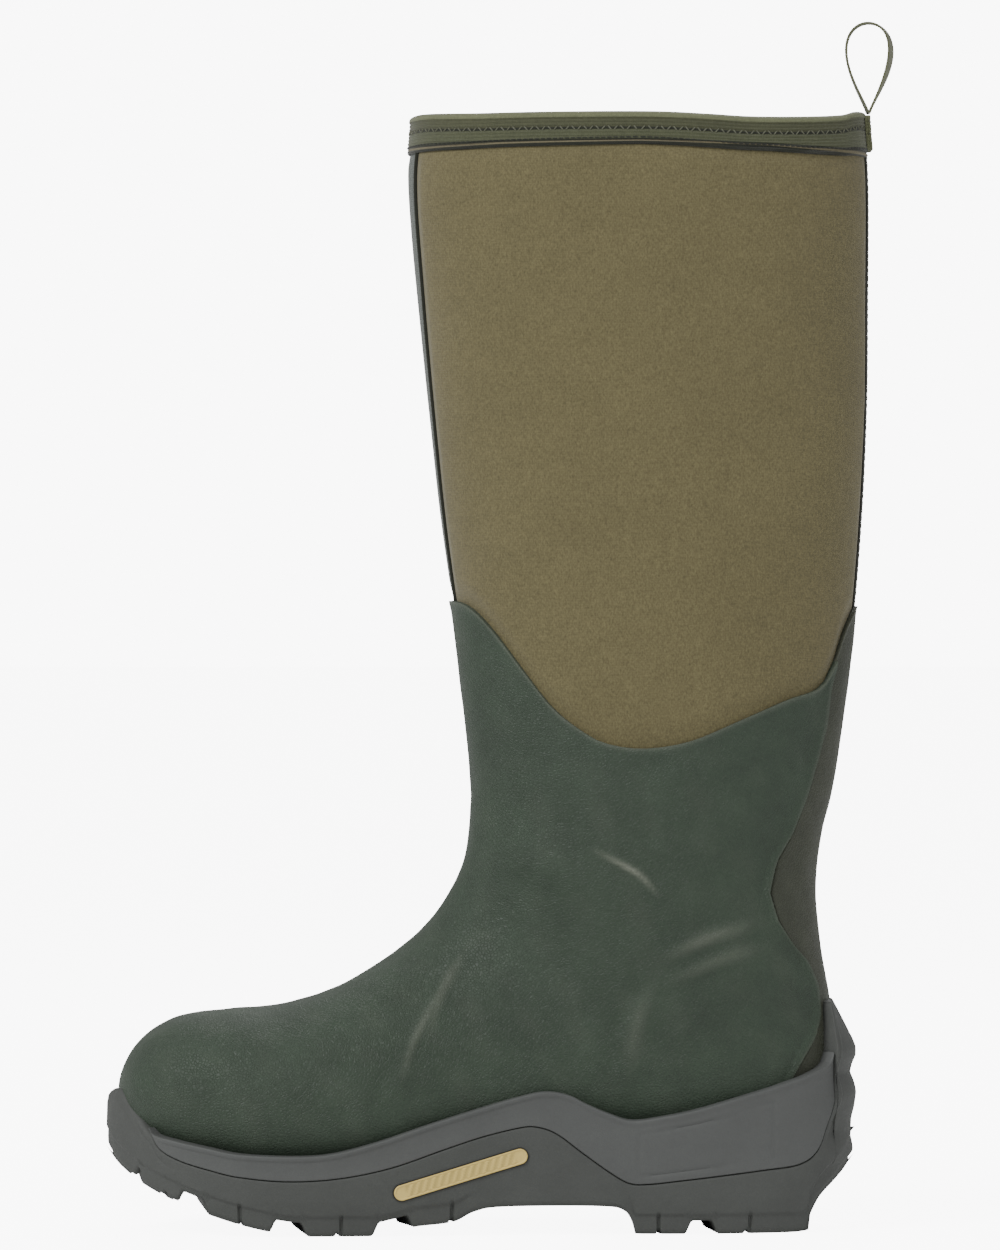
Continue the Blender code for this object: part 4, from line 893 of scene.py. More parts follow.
def build_pipings():
    """A round bead in each front seam, with the thread that whips it, and the tape on the back seam."""
    top, foot = row_at(PIPING_TOP), row_at(PIPING_FOOT)
    rows = np.linspace(top, foot, 329)[:, None]
    shares = np.linspace(-1, 1, 13)[None, :]
    for side, sign in (("lateral", 1), ("medial", -1)):
        turns = sign * seam_turn(rows, front_half(rows) + shares * PIPING / 2)
        twist = 0.06 * MM * np.sin(TURN * (rows * 52 + shares * 0.6))
        lift = -0.4 * MM + 1.35 * MM * np.sqrt(1 - 0.96 * shares**2) + twist
        name = f"front_piping_{side}"
        outer, inner = on_last(rows, turns, lift), on_last(rows, turns, -NEOPRENE)
        mesh = closed_wall(f"{name}_bead", outer[:, ::sign], inner[:, ::sign])
        add_piece(mesh, FINISHES["dark_piping"], "dark_piping", "boot", name)
    shares = np.linspace(-1, 1, 25)[None, :]
    turns = math.pi + shares * (math.pi - seam_turn(rows, TAPE_WIDTH / 2, at_back=True))
    ridge = 0.2 * MM * np.exp(-((shares / 0.12) ** 2)) - 0.35 * MM * smooth(0.86, 1.0, np.abs(shares))
    lift = FIT + 0.5 * MM + ridge + 0.05 * MM * np.sin(TURN * rows * 30) * smooth(0.9, 0.6, np.abs(shares))
    mesh = closed_wall("back_tape", on_last(rows, turns, lift), on_last(rows, turns, FIT))
    piece = add_piece(mesh, FINISHES["dark_piping"], "dark_piping", "boot", "back_seam_tape")
    soft_edges(piece, 0.25 * MM)
    for side in (-1, 1):
        heights = np.arange(262 * MM, 442 * MM, 3.1 * MM)
        seam_stitches(f"back_tape_stitches_{'lateral' if side < 0 else 'medial'}", heights,
                      math.pi + side * 0.055, 0.0, FIT + 0.52 * MM, upright=True)


def seam_stitches(name, heights, turns, slant, lift, upright=False, slot="thread", width=0.55 * MM):
    """Stitches on the shaft at these heights and turns, slanted from the seam's own direction."""
    heights, turns = np.broadcast_arrays(np.asarray(heights, float), np.asarray(turns, float))
    known = np.linspace(0, JOIN_ROW, 600)
    rows = np.interp(-heights, -spline(SECTION_TABLE, known)[:, 1], known)
    centres = on_last(rows, turns, lift)
    normal = last_normal(rows, turns)
    level = on_last(rows, turns + 0.01, lift) - centres
    level /= np.linalg.norm(level, axis=1, keepdims=True)
    down = np.cross(level, normal)
    first, second = (down, level) if upright else (level, down)
    slant = np.broadcast_to(slant, heights.shape)[:, None]
    along = first * np.cos(slant) + second * np.sin(slant)
    mesh = stitches(name, centres, along, normal, sizes().stitch * 1.05, width, 0.32 * MM)
    return add_piece(mesh, FINISHES[slot], "olive_tape", "boot")


def build_binding():
    """Tape folded over the top edge: a profile carried round the mouth and closed on itself.

    The profile runs up the outside in ribs, over a rolled crown, down the inside, and back 1 mm
    further in. Each point of it has a row (by its height), a lift off the last and a rise above row 0.
    """
    columns = 481
    turns = np.linspace(0, TURN, columns)
    x_at_foot = last_point(np.full(columns, row_at(PIPING_TOP)), turns)[:, 0]
    foot = binding_foot(x_at_foot) - 0.2 * MM
    level = np.linspace(0, 1, 66)[:, None]
    height = foot + (BRIM - foot) * level
    known = np.linspace(0, JOIN_ROW, 800)
    depth = -spline(SECTION_TABLE, known)[:, 1]
    rows_up = np.interp(-height, depth, known)
    rib = 0.13 * MM * np.cos(TURN * (BRIM - height) / sizes().rib_pitch)
    tucked = -0.7 * MM * (1 - smooth(0, 1.0 * MM, height - foot))
    groove = -0.35 * MM * np.exp(-(((height - foot) / MM - 1.9) / 0.35) ** 2)
    channel = -0.25 * MM * np.exp(-(((height - SEAM_HEIGHT) / MM) / 0.9) ** 2)
    lift_up = FIT + BINDING + rib + tucked + groove + channel
    arc = np.linspace(0, math.pi, 15)[:, None]
    half_roll = (FIT + BINDING + 0.35 * MM - (INSIDE - BINDING - 0.2 * MM)) / 2
    middle = (FIT + BINDING + 0.35 * MM + INSIDE - BINDING - 0.2 * MM) / 2
    flat = np.sign(np.cos(arc)) * np.abs(np.cos(arc)) ** 0.7
    lift_roll = middle + half_roll * flat + 0 * turns
    rise_roll = (CROWN - BRIM + 0.4 * MM) * np.sin(arc) ** 0.7 + 0 * turns
    inner_height = BRIM - (BRIM - BINDING_END) * np.linspace(0.02, 1, 30)[:, None] + 0 * turns
    rows_down = np.interp(-inner_height, depth, known)
    lift_down = INSIDE - BINDING + 0.13 * MM * np.cos(TURN * (BRIM - inner_height) / sizes().rib_pitch)
    up_inside, down_outside = np.linspace(BINDING_END, 457 * MM, 8), np.linspace(457 * MM, 446.5 * MM, 8)
    back_height = np.concatenate([up_inside, down_outside])
    rows_back = np.interp(-back_height, depth, known)[:, None] + 0 * turns
    lift_back = np.concatenate([np.full(8, INSIDE), np.full(8, FIT)])[:, None] + 0 * turns
    brim_row = np.interp(-BRIM, depth, known) + 0 * lift_roll
    rows = np.concatenate([rows_up, brim_row, rows_down, rows_back])
    lifts = np.concatenate([lift_up, lift_roll, lift_down, lift_back])
    points = on_last(rows, turns[None, :], lifts)
    first = len(rows_up)
    points[first:first + len(arc), :, 2] += rise_roll
    points = np.concatenate([points, points[:1]])
    crown = CROWN + height_on(WAVE, points[..., 0])
    seam = SEAM_HEIGHT + height_on(WAVE, points[..., 0])
    height = points[..., 2]
    under, over = (height - foot) / (seam - foot), (height - seam) / (crown - seam)
    band = np.clip(np.where(height < seam, 0.5 * under, 0.5 + 0.5 * over), 0, 1)
    uv = measured_uv(points)
    numbers = np.arange(points.shape[0] * columns).reshape(points.shape[:2])
    mesh = made_mesh("binding", points, grid_quads(numbers), uv, band)
    add_piece(mesh, FINISHES["binding"], "olive_tape", "boot", "top_binding")
    count = int(430 * MM / sizes().stitch / 2) * 2
    around = np.linspace(0, TURN, count, endpoint=False)
    turned = around + 0.12 * np.sin(2 * around)
    zigzag = np.where(np.arange(count) % 2 == 0, 0.85, -0.85)
    seam_stitches("binding_zigzag", SEAM_HEIGHT, turned, zigzag, FIT + BINDING - 0.1 * MM, width=0.5 * MM)
    low = binding_foot(last_point(np.full(count, row_at(PIPING_TOP)), turned)[:, 0]) + 2.9 * MM
    seam_stitches("binding_hem_stitches", low, turned, 0.0, FIT + BINDING, slot="dark_piping")


def build_tail():
    """The two sewn-down ends of the pull loop, with a rounded lower end and two bars of stitches."""
    heights = np.linspace(459.9 * MM, 444 * MM, 61)
    known = np.linspace(0, JOIN_ROW, 800)
    rows = np.interp(-heights, -spline(SECTION_TABLE, known)[:, 1], known)[:, None]
    shares = np.linspace(-1, 1, 49)[None, :]
    corner = np.sqrt(np.clip(1 - np.clip((447 * MM - heights) / (3 * MM), 0, 0.97) ** 2, 0, 1))[:, None]
    half = 6 * MM * (0.45 + 0.55 * corner)
    turns = math.pi + shares * (math.pi - seam_turn(rows, 6 * MM, at_back=True)) * half / (6 * MM)
    bars = sum(np.exp(-(((heights - level) / (0.9 * MM)) ** 2)) for level in TAIL_BARS)[:, None]
    edges = smooth(1.0, 0.86, np.abs(shares))
    end = smooth(444 * MM, 445 * MM, heights)[:, None]
    lift = 2 * FIT + BINDING + 2.0 * MM * edges * (0.6 + 0.4 * end) - 0.35 * MM * bars * edges
    mesh = closed_wall("loop_tail", on_last(rows, turns, lift), on_last(rows, turns, 2 * FIT + BINDING))
    piece = add_piece(mesh, FINISHES["olive_tape"], "olive_tape", "boot", "pull_loop_tail")
    soft_edges(piece, 0.3 * MM)
    for number, level in enumerate(TAIL_BARS):
        turns = math.pi + np.linspace(-1, 1, 6) * 0.115
        seam_stitches(f"tail_bar_{number}", level, turns, 0.25, 2 * FIT + BINDING + 1.75 * MM, width=0.8 * MM)


def build_pull_loop():
    """Webbing in a teardrop: a rounded strip section carried round a closed line that turns under
    itself at the hinge.

    The middle line is x = 0.6 cos(t/2) + 12.2 sin(t) sin(t/2)^1.3 and z = 36.4 (1 - cos t)/2 in
    millimetres, for t once round, joined below by a half circle of radius 0.6.
    """
    webbing, width, height, spread = 1.2 * MM, 12 * MM, 36.4 * MM, 12.2 * MM
    turn = np.linspace(0.16, TURN - 0.16, 281)
    legs = np.stack([webbing / 2 * np.cos(turn / 2) + spread * np.sin(turn) * np.sin(turn / 2) ** 1.3,
                     height * (1 - np.cos(turn)) / 2], axis=1)
    under = np.linspace(math.pi, TURN, 12)[1:-1]
    bend = np.stack([webbing / 2 * np.cos(under), webbing / 2 * np.sin(under)], axis=1)
    line = np.vstack([legs, bend])
    along = np.roll(line, -1, axis=0) - np.roll(line, 1, axis=0)
    along /= np.linalg.norm(along, axis=1, keepdims=True)
    lean = np.zeros(len(line))
    back_lean, front_lean = np.exp(-((turn - 1.9) / 1.0) ** 2), np.exp(-((turn - 4.4) / 0.9) ** 2)
    lean[:len(turn)] = math.radians(12) * back_lean - math.radians(3.5) * front_lean
    around = np.linspace(0, TURN, 49)
    square = 7
    reach = (np.abs(np.cos(around)) ** square + np.abs(np.sin(around)) ** square) ** (-1 / square)
    across = width / 2 * np.cos(around) * reach
    out = webbing / 2 * 0.94 * np.sin(around) * np.minimum(reach, 1.1)
    rib = 0.06 * MM * np.cos(TURN * np.arange(len(line)) / 3)[:, None] * np.abs(np.sin(around))
    out = out + np.sign(np.sin(around)) * rib
    turned_across = across * np.cos(lean)[:, None] - out * np.sin(lean)[:, None]
    turned_out = across * np.sin(lean)[:, None] + out * np.cos(lean)[:, None]
    points = np.stack([
        LOOP_ROOT[0] + line[:, None, 0] + turned_out * along[:, None, 1],
        turned_across + 0 * turned_out,
        LOOP_ROOT[1] + line[:, None, 1] - turned_out * along[:, None, 0],
    ], axis=-1)
    points = np.concatenate([points, points[:1]])
    numbers = np.arange(points.shape[0] * points.shape[1]).reshape(points.shape[:2])
    mesh = made_mesh("pull_loop_webbing", points, grid_quads(numbers), measured_uv(points))
    add_piece(mesh, FINISHES["olive_tape"], "olive_tape", "loop", "pull_loop")


def lining_layer(name, rows, node):
    """The jersey that goes right round the inside of the boot, a little loose on its inner side."""
    outer, inner = -NEOPRENE - FIT, INSIDE + FIT
    rows = rows[:, None]
    turns = np.linspace(0, TURN, ROUND_COLUMNS)[None, :]
    loose = 0.12 * MM * uneven(last_point(rows, turns), 30 * MM, 13)
    top, low = on_last(rows, turns, outer + 0 * turns), on_last(rows, turns, inner + loose)
    skin = np.concatenate([top[:, :-1], top[:, :1]], axis=1)
    core = np.concatenate([low[:, :-1], low[:, :1]], axis=1)
    mesh = closed_wall(name, core, skin, around=True)
    add_piece(mesh, FINISHES["lining_jersey"], "lining_jersey", "boot", node)


def build_linings():
    """The jersey lining of the shaft and the foot, and the neoprene sock between lining and rubber."""
    shaft = np.linspace(0, JOIN_ROW - JOIN_GAP, 161)
    foot = np.concatenate([np.linspace(JOIN_ROW + JOIN_GAP, 21.45, 164), [TOE_TIP]])
    lining_layer("shaft_lining", shaft, "lining_shaft")
    lining_layer("foot_lining", foot, "lining_foot")
    rows = foot[:, None]
    turns = np.linspace(0, TURN, ROUND_COLUMNS)[None, :]
    toe = smooth(18.8, 19.0, rows)
    heel = smooth(8.8, 9.0, rows) * smooth(13.2, 13.0, rows)
    heel = heel * smooth(1.0, 0.9, np.abs(turns / math.pi - 1) * 2.7)
    outer = -0.05 * MM - 1.5 * MM * np.maximum(toe, heel)
    skin, core = on_last(rows, turns, outer), on_last(rows, turns, -NEOPRENE)
    skin[:, -1], core[:, -1] = skin[:, 0], core[:, 0]
    piece = add_piece(closed_wall("foot_sock", skin, core, around=True), FINISHES["black_neoprene"],
                      "black_neoprene", "boot", "foot_bootie")


def insole_layer(name, level, thickness, finish, body, node):
    """A sheet under the foot with rounded ends, its top a thickness above the level it lies on."""
    shares = np.linspace(-1, 1, 145)[None, :]
    along = np.linspace(0, 1, 201)[:, None]
    start = 12.5 + 0.30 * np.abs(shares) ** 6
    rows = start + (20.5 - 0.75 * np.abs(shares) ** 5 - start) * along
    turns = math.pi + 0.885 * shares
    top = level - thickness
    outer, inner = on_last(rows, turns, top), on_last(rows, turns, top + thickness)
    piece = add_piece(closed_wall(name, outer, inner), FINISHES[finish], finish, body, node)
    soft_edges(piece, 0.4 * MM)
    return piece


def build_insoles():
    """Felt underlay, foam footbed and its cloth cover, one above the other."""
    felt, foam, cloth = 3 * MM, 5 * MM, 1 * MM
    level = INSIDE
    underlay = insole_layer("felt_underlay", level, felt, "grey_felt", "boot", "thermal_underlay")
    level -= 3.3 * MM
    footbed = insole_layer("foam_footbed", level, foam, "black_foam", "insole", "footbed")
    level -= 5.3 * MM
    insole_layer("insole_cloth", level, cloth, "footbed_cloth", "insole", "footbed_cover")


def dress_kept_pieces():
    """The stiffeners, the board and the shank keep their built shapes and get their finishes."""
    for node, finish in (("toe_puff", "fibre_board"), ("heel_counter", "fibre_board"),
                         ("lasting_board", "fibre_board"), ("shank", "spring_steel")):
        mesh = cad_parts[node].data
        mesh.materials.clear()
        mesh.materials.append(FINISHES[finish])


# ---- Sole unit -------------------------------------------------------------------------------

SOLE_FLOOR = 5 * MM
LUG_ROUND = 1.9 * MM
SPUR_START, SPUR_FULL = 128 * MM, 141 * MM
MIDSOLE_SPAN = (-143.5 * MM, 138.0 * MM)
BADGE_CENTRE = (-15.7 * MM, 25.0 * MM)
BADGE_TILT = math.radians(16.7)
BADGE_HALF, BADGE_RADIUS = 25 * MM, 3.7 * MM
# Rings of the bar from its middle line (0) out to its edge (1), closer where its edge rounds over.
BADGE_RINGS = [0, 0.12, 0.24, 0.36, 0.46, 0.52, 0.58, 0.64, 0.72, 0.78, 0.82, 0.85, 0.88, 0.92, 1.0, 1.0]


def sole_sides(low=-1.0, high=1.0):
    """Facing places on the inner and the outer side of the sole's outline between two values of x.

    They are evenly spaced round the outline, and closer where a groove, a sipe or the spur's front
    edge is. Returns the x values from heel to toe, and y on the inner and on the outer side.
    """
    around = np.linspace(0, len(SOLE_OUTLINE), 8801)[:-1]
    outline = spline(np.array(SOLE_OUTLINE, float) * MM, around, closed=True)
    outline = np.roll(outline, -outline[:, 0].argmax(), axis=0)
    toe = outline[:, 0].argmin()
    inner, outer = outline[:toe + 1], np.vstack([outline[toe:], outline[:1]])[::-1]
    travel = np.concatenate([[0], np.cumsum(np.linalg.norm(np.diff(inner, axis=0), axis=1))])
    x = np.interp(np.linspace(0, travel[-1], 372), travel, inner[:, 0])
    extra = [np.linspace(133, 140.5, 36)] + [place + np.linspace(-1.4, 1.4, 8) for place in SIPES]
    x = np.unique(np.round(np.concatenate([x, *(part * MM for part in extra)]), 8))[::-1]
    ends = [value for value in (low, high) if outline[toe, 0] < value < outline[0, 0]]
    x = np.unique(np.concatenate([x[(x > low) & (x < high)], ends]))[::-1]
    inner_y = np.interp(-x, -inner[:, 0], inner[:, 1])
    outer_y = np.interp(-x, -outer[:, 0], outer[:, 1])
    return x, inner_y, outer_y


def inward_of(x, inner_y, outer_y, side, spread=3):
    """Level directions into the sole, square to its closed outline, over a few places either way."""
    inner, outer = np.stack([x, inner_y], axis=1), np.stack([x, outer_y], axis=1)
    ring = np.vstack([inner, outer[-2:0:-1]])
    along = np.roll(ring, -spread, axis=0) - np.roll(ring, spread, axis=0)
    inward = np.stack([along[:, 1], -along[:, 0]], axis=1)
    inward *= np.sign((inward * (ring.mean(axis=0) - ring)).sum(axis=1).mean())
    inward /= np.linalg.norm(inward, axis=1, keepdims=True)
    numbers = np.arange(len(x))
    return inward[numbers] if side < 0 else inward[(len(ring) - numbers) % len(ring)]


def open_inward(line, side):
    """The same along an open stretch of one side, from heel to toe."""
    padded = np.vstack([2 * line[0] - line[3:0:-1], line, 2 * line[-1] - line[-2:-5:-1]])
    along = (padded[6:] - padded[:-6]) * (1 if side < 0 else -1)
    along /= np.linalg.norm(along, axis=1, keepdims=True)
    return np.stack([along[:, 1], -along[:, 0]], axis=1)


def groove_depth(x, y):
    """How deep the tread is cut at a place: bent grooves across it, straight ones along its middle."""
    share = np.clip(np.abs(y) / (52 * MM), 0, 1)
    depth = np.zeros(np.broadcast(x, y).shape)
    for place, width, bend in GROOVES:
        apart = np.abs(x - (place - bend * (1 - share)) * MM)
        depth = np.maximum(depth, 1 - smooth(width * MM / 2 - 2.2 * MM, width * MM / 2 + 1.2 * MM, apart))
    for start, end in CENTRE_GROOVES:
        along = smooth((start - 2) * MM, start * MM, x) * smooth((end + 2) * MM, end * MM, x)
        depth = np.maximum(depth, along * (1 - smooth(2.9 * MM, 4.4 * MM, np.abs(y))))
    fine = np.zeros_like(depth)
    for place, bend in FINE_CUTS:
        apart = np.abs(x - (place - bend * (1 - share)) * MM)
        fine = np.maximum(fine, (1 - smooth(0.5 * MM, 1.2 * MM, apart)) * smooth(9 * MM, 11 * MM, np.abs(y)))
    return np.maximum(depth * sizes().lug_depth, 1.3 * MM * fine)


TREAD = drawn_curve(TREAD_LINE)
TREAD = (TREAD[0], np.maximum(TREAD[1], 0))


def tread_height(x, y):
    return height_on(TREAD, x) + groove_depth(x, y)


def reach_inward(points, inward, furthest=26 * MM):
    """How far in from each point the upper's side begins, found by stepping inwards."""
    steps = np.linspace(0, furthest, 131)
    x = points[:, None, 0] + inward[:, None, 0] * steps
    y = points[:, None, 1] + inward[:, None, 1] * steps
    z = np.broadcast_to(points[:, None, 2], x.shape)
    shift, wide = half_width_at(x, z)
    inside = (wide > 0) & (np.abs(y - shift) < wide + 1.9 * MM)
    first = inside.argmax(axis=1)
    return np.where(inside.any(axis=1), steps[first], furthest / 2)


def wall_rows(low, high, count, edge):
    """Heights up a wall with extra ones in its rounded lower and upper edges, one column per place."""
    shares = np.array([0.0, 0.1, 0.3, 0.6, 1.0])[:, None]
    lower = low + LUG_ROUND * shares
    upper = high - edge * shares[::-1]
    middle = np.linspace(0, 1, count + 2)[1:-1, None]
    return np.concatenate([lower, lower[-1] + (upper[0] - lower[-1]) * middle, upper])


def rounded_in(depth, radius):
    """How far a rounded edge draws in at a depth below its corner: a quarter circle."""
    left = np.clip(radius - depth, 0, radius)
    return radius - np.sqrt(np.maximum(radius**2 - left**2, 0))


def outsole_inset(x, z, low, high, edge):
    """How far the outsole's wall is drawn in: barrel, rounded edges, set-back lugs, side grooves, the
    spur's bulges and the raised rim along the spur's front edge."""
    barrel = np.interp(z, *(np.array(SOLE_BARREL).T * MM))
    inset = barrel + rounded_in(z - low, LUG_ROUND) + rounded_in(high - z, edge)
    lugs = 1 - smooth(-16 * MM, -8 * MM, x) * smooth(56 * MM, 50 * MM, x)
    step = height_on(TREAD, x) + 8.2 * MM
    inset = inset + 0.7 * MM * lugs * (1 - smooth(step - 0.9 * MM, step + 0.4 * MM, z))
    for place in SIPES:
        side = 1 - smooth(0.3 * MM, 1.0 * MM, np.abs(x - place * MM))
        inset = inset + 1.0 * MM * side * smooth(step + 1.2 * MM, step - 0.4 * MM, z)
    spur = smooth(SPUR_START, SPUR_FULL, x)
    inset = inset - spur * np.interp(z, *(np.array(SPUR_RELIEF).T * MM))
    lean = np.interp(z, *(np.array(SPUR_LEAN).T * MM))
    inset = inset + spur * lean * (0.4 + 0.6 * smooth(139 * MM, 146 * MM, x))
    edge_x = np.interp(z, *(np.array(SPUR_EDGE).T * MM))
    rim = smooth(-0.3 * MM, 0.3 * MM, x - edge_x) * (1 - smooth(1.6 * MM, 2.4 * MM, x - edge_x))
    inset = inset - 0.55 * MM * rim * smooth(34 * MM, 42 * MM, z)
    toe = smooth(-128 * MM, -146 * MM, x)
    groove = np.exp(-(((z - (high - 4.2 * MM)) / (0.8 * MM)) ** 2))
    return inset + toe * 0.45 * MM * groove


def at_height(plan, height):
    """Level points put at their heights."""
    return np.concatenate([plan, height[..., None]], axis=-1)


def built_side(x, inner_y, outer_y, side):
    """The outsole's surface on one side: tread, wall, top rim, inner wall and floor, from the middle
    line out and back to it, as rows of points over the places x."""
    edge_line = np.stack([x, inner_y if side < 0 else outer_y], axis=1)
    inward = inward_of(x, inner_y, outer_y, side)
    spine = np.stack([x, (inner_y + outer_y) / 2], axis=1)
    low = tread_height(x, edge_line[:, 1])
    high = np.minimum(height_on(FEATHER, x), height_on(MIDSOLE_EDGE, x))
    toe = smooth(-136 * MM, -152 * MM, x)
    edge = np.minimum(0.7 * MM + 4.2 * MM * toe, (high - low) / 4)
    heights = wall_rows(low, high, 34, edge)
    inset = outsole_inset(x, heights, low, high, edge)
    plan = edge_line + inward * inset[..., None]
    wall = at_height(plan, heights)
    foot = plan[0]
    half = np.linalg.norm(foot - spine, axis=1)
    near = np.array([0, 2.2, 3.0, 3.6, 4.2, 5.0])[:, None] * MM
    near = np.minimum(near, half * np.array([0, 0.1, 0.15, 0.2, 0.25, 0.3])[:, None])
    far = near[-1] + (half - near[-1]) * np.linspace(0, 1, 36)[1:-1, None]
    share = np.concatenate([near, far]) / np.maximum(half, 1e-9)
    across = spine + (foot - spine) * share[..., None]
    tread = at_height(across, tread_height(across[..., 0], across[..., 1]))
    under_midsole = (x > MIDSOLE_SPAN[0]) & (x < MIDSOLE_SPAN[1])
    to_upper = np.maximum(reach_inward(wall[-1], inward) - 0.2 * MM, 1.5 * MM)
    reach = np.where(under_midsole, SOLE_FLOOR, to_upper)
    rim = [at_height(plan[-1] + inward * (reach * part)[:, None], high) for part in (0.25, 0.6, 1.0)]
    floor = np.minimum(height_on(TREAD, x) + sizes().lug_depth + SOLE_FLOOR, high - 1.5 * MM)
    inner = rim[-1][:, :2] + inward * 0.5 * MM
    under = [at_height(place, floor) for place in (inner, spine + (inner - spine) * 0.5, spine)]
    return np.concatenate([tread, wall, np.stack(rim), np.stack(under)])


def build_outsole():
    """The lugged outsole with its toe bumper and heel spur, as two sides welded along the middle."""
    x, inner_y, outer_y = sole_sides()
    sides = [built_side(x, inner_y, outer_y, side) for side in (-1, 1)]
    rows, columns = sides[0].shape[:2]
    numbers = np.arange(rows * columns).reshape(rows, columns)
    for end in (0, -1):
        shared = (sides[0][:, end] + sides[1][:, end]) / 2
        sides[0][:, end] = sides[1][:, end] = shared
    faces = np.concatenate([grid_quads(numbers), grid_quads(numbers + rows * columns)])
    mesh = made_mesh("outsole_tread", np.stack(sides), faces, np.stack([measured_uv(side) for side in sides]))
    add_piece(mesh, FINISHES["sole_rubber"], "sole_rubber", "boot", "outsole")


def build_midsole():
    """The foam band between outsole and upper: two sides welded along the middle, with capped ends."""
    x, inner_y, outer_y = sole_sides(*MIDSOLE_SPAN)
    bottom_x, bottom_z = np.array(sorted((row[2], row[3]) for row in SECTIONS[12:22])).T * MM
    low_shares, high_shares = [0, 0.012, 0.03], [0.955, 0.975, 0.99, 1]
    shares = np.concatenate([low_shares, np.linspace(0.06, 0.93, 26), high_shares])[:, None]
    grids = []
    for side in (-1, 1):
        edge_line = np.stack([x, inner_y if side < 0 else outer_y], axis=1)
        inward = open_inward(edge_line, side)
        spine = np.stack([x, (inner_y + outer_y) / 2], axis=1)
        low = height_on(MIDSOLE_EDGE, x) + FIT
        high = np.maximum(height_on(FEATHER, x), low + 0.6 * MM)
        room = high - low
        edge = np.minimum(0.8 * MM, room / 4)
        heights = low + room * shares
        barrel = np.interp(heights, *(np.array(SOLE_BARREL).T * MM))
        lip = -0.35 * MM * smooth(2.6 * MM, 1.6 * MM, high - heights) * smooth(3 * MM, 7 * MM, room)
        waist = 0.5 * MM * np.sin(math.pi * np.clip(shares, 0, 1)) * smooth(5 * MM, 14 * MM, room)
        panel_x = smooth(56 * MM, 57.6 * MM, x) * smooth(113 * MM, 111.4 * MM, x)
        panel_z = smooth(3.0 * MM, 4.2 * MM, heights - low) * smooth(5.2 * MM, 6.6 * MM, high - heights)
        inset = barrel + rounded_in(high - heights, edge)
        inset = inset + rounded_in(heights - low, np.minimum(0.5 * MM, edge)) + lip
        panel = panel_x * panel_z
        inset = inset + waist + 1.8 * MM * panel * (1 - panel) + 0.12 * MM * panel
        plan = edge_line + inward * inset[..., None]
        wall = at_height(plan, heights)
        reach = np.maximum(reach_inward(wall[-1], inward) - 0.2 * MM, 0.8 * MM)
        shelf = [at_height(plan[-1] + inward * (reach * part)[:, None], high) for part in (0.3, 0.7, 1.0)]
        bed = np.interp(x, bottom_x, bottom_z) - 2.4 * MM
        rim = shelf[-1][:, :2]
        dish = []
        for share in (0.97, 0.9, 0.75, 0.5, 0.0):
            fall = 1 - (1 - share**2.6) ** (1 / 2.6)
            dish.append(at_height(spine + (rim - spine) * share, bed + (high - bed) * fall))
        inner = edge_line + inward * (SOLE_FLOOR + FIT)
        floor = np.minimum(height_on(TREAD, x) + sizes().lug_depth + SOLE_FLOOR + FIT, bed - 0.5 * MM)
        floor = np.minimum(floor, low - 0.5 * MM)
        under = [at_height(spine + (inner - spine) * share, floor) for share in (0, 0.5, 1)]
        step = at_height(inner, low)
        grids.append(np.concatenate([np.stack(under), step[None], wall, np.stack(shelf), np.stack(dish)]))
    rows, columns = grids[0].shape[:2]
    numbers = np.arange(rows * columns).reshape(rows, columns)
    faces = []
    for offset in (0, rows * columns):
        faces += grid_quads(numbers + offset).tolist()
        faces += [(numbers[:, end] + offset).tolist() for end in (0, -1)]
    mesh = made_mesh("midsole_band", np.stack(grids), faces, np.stack([measured_uv(grid) for grid in grids]))
    add_piece(mesh, FINISHES["midsole_foam"], "midsole_foam", "boot", "midsole")


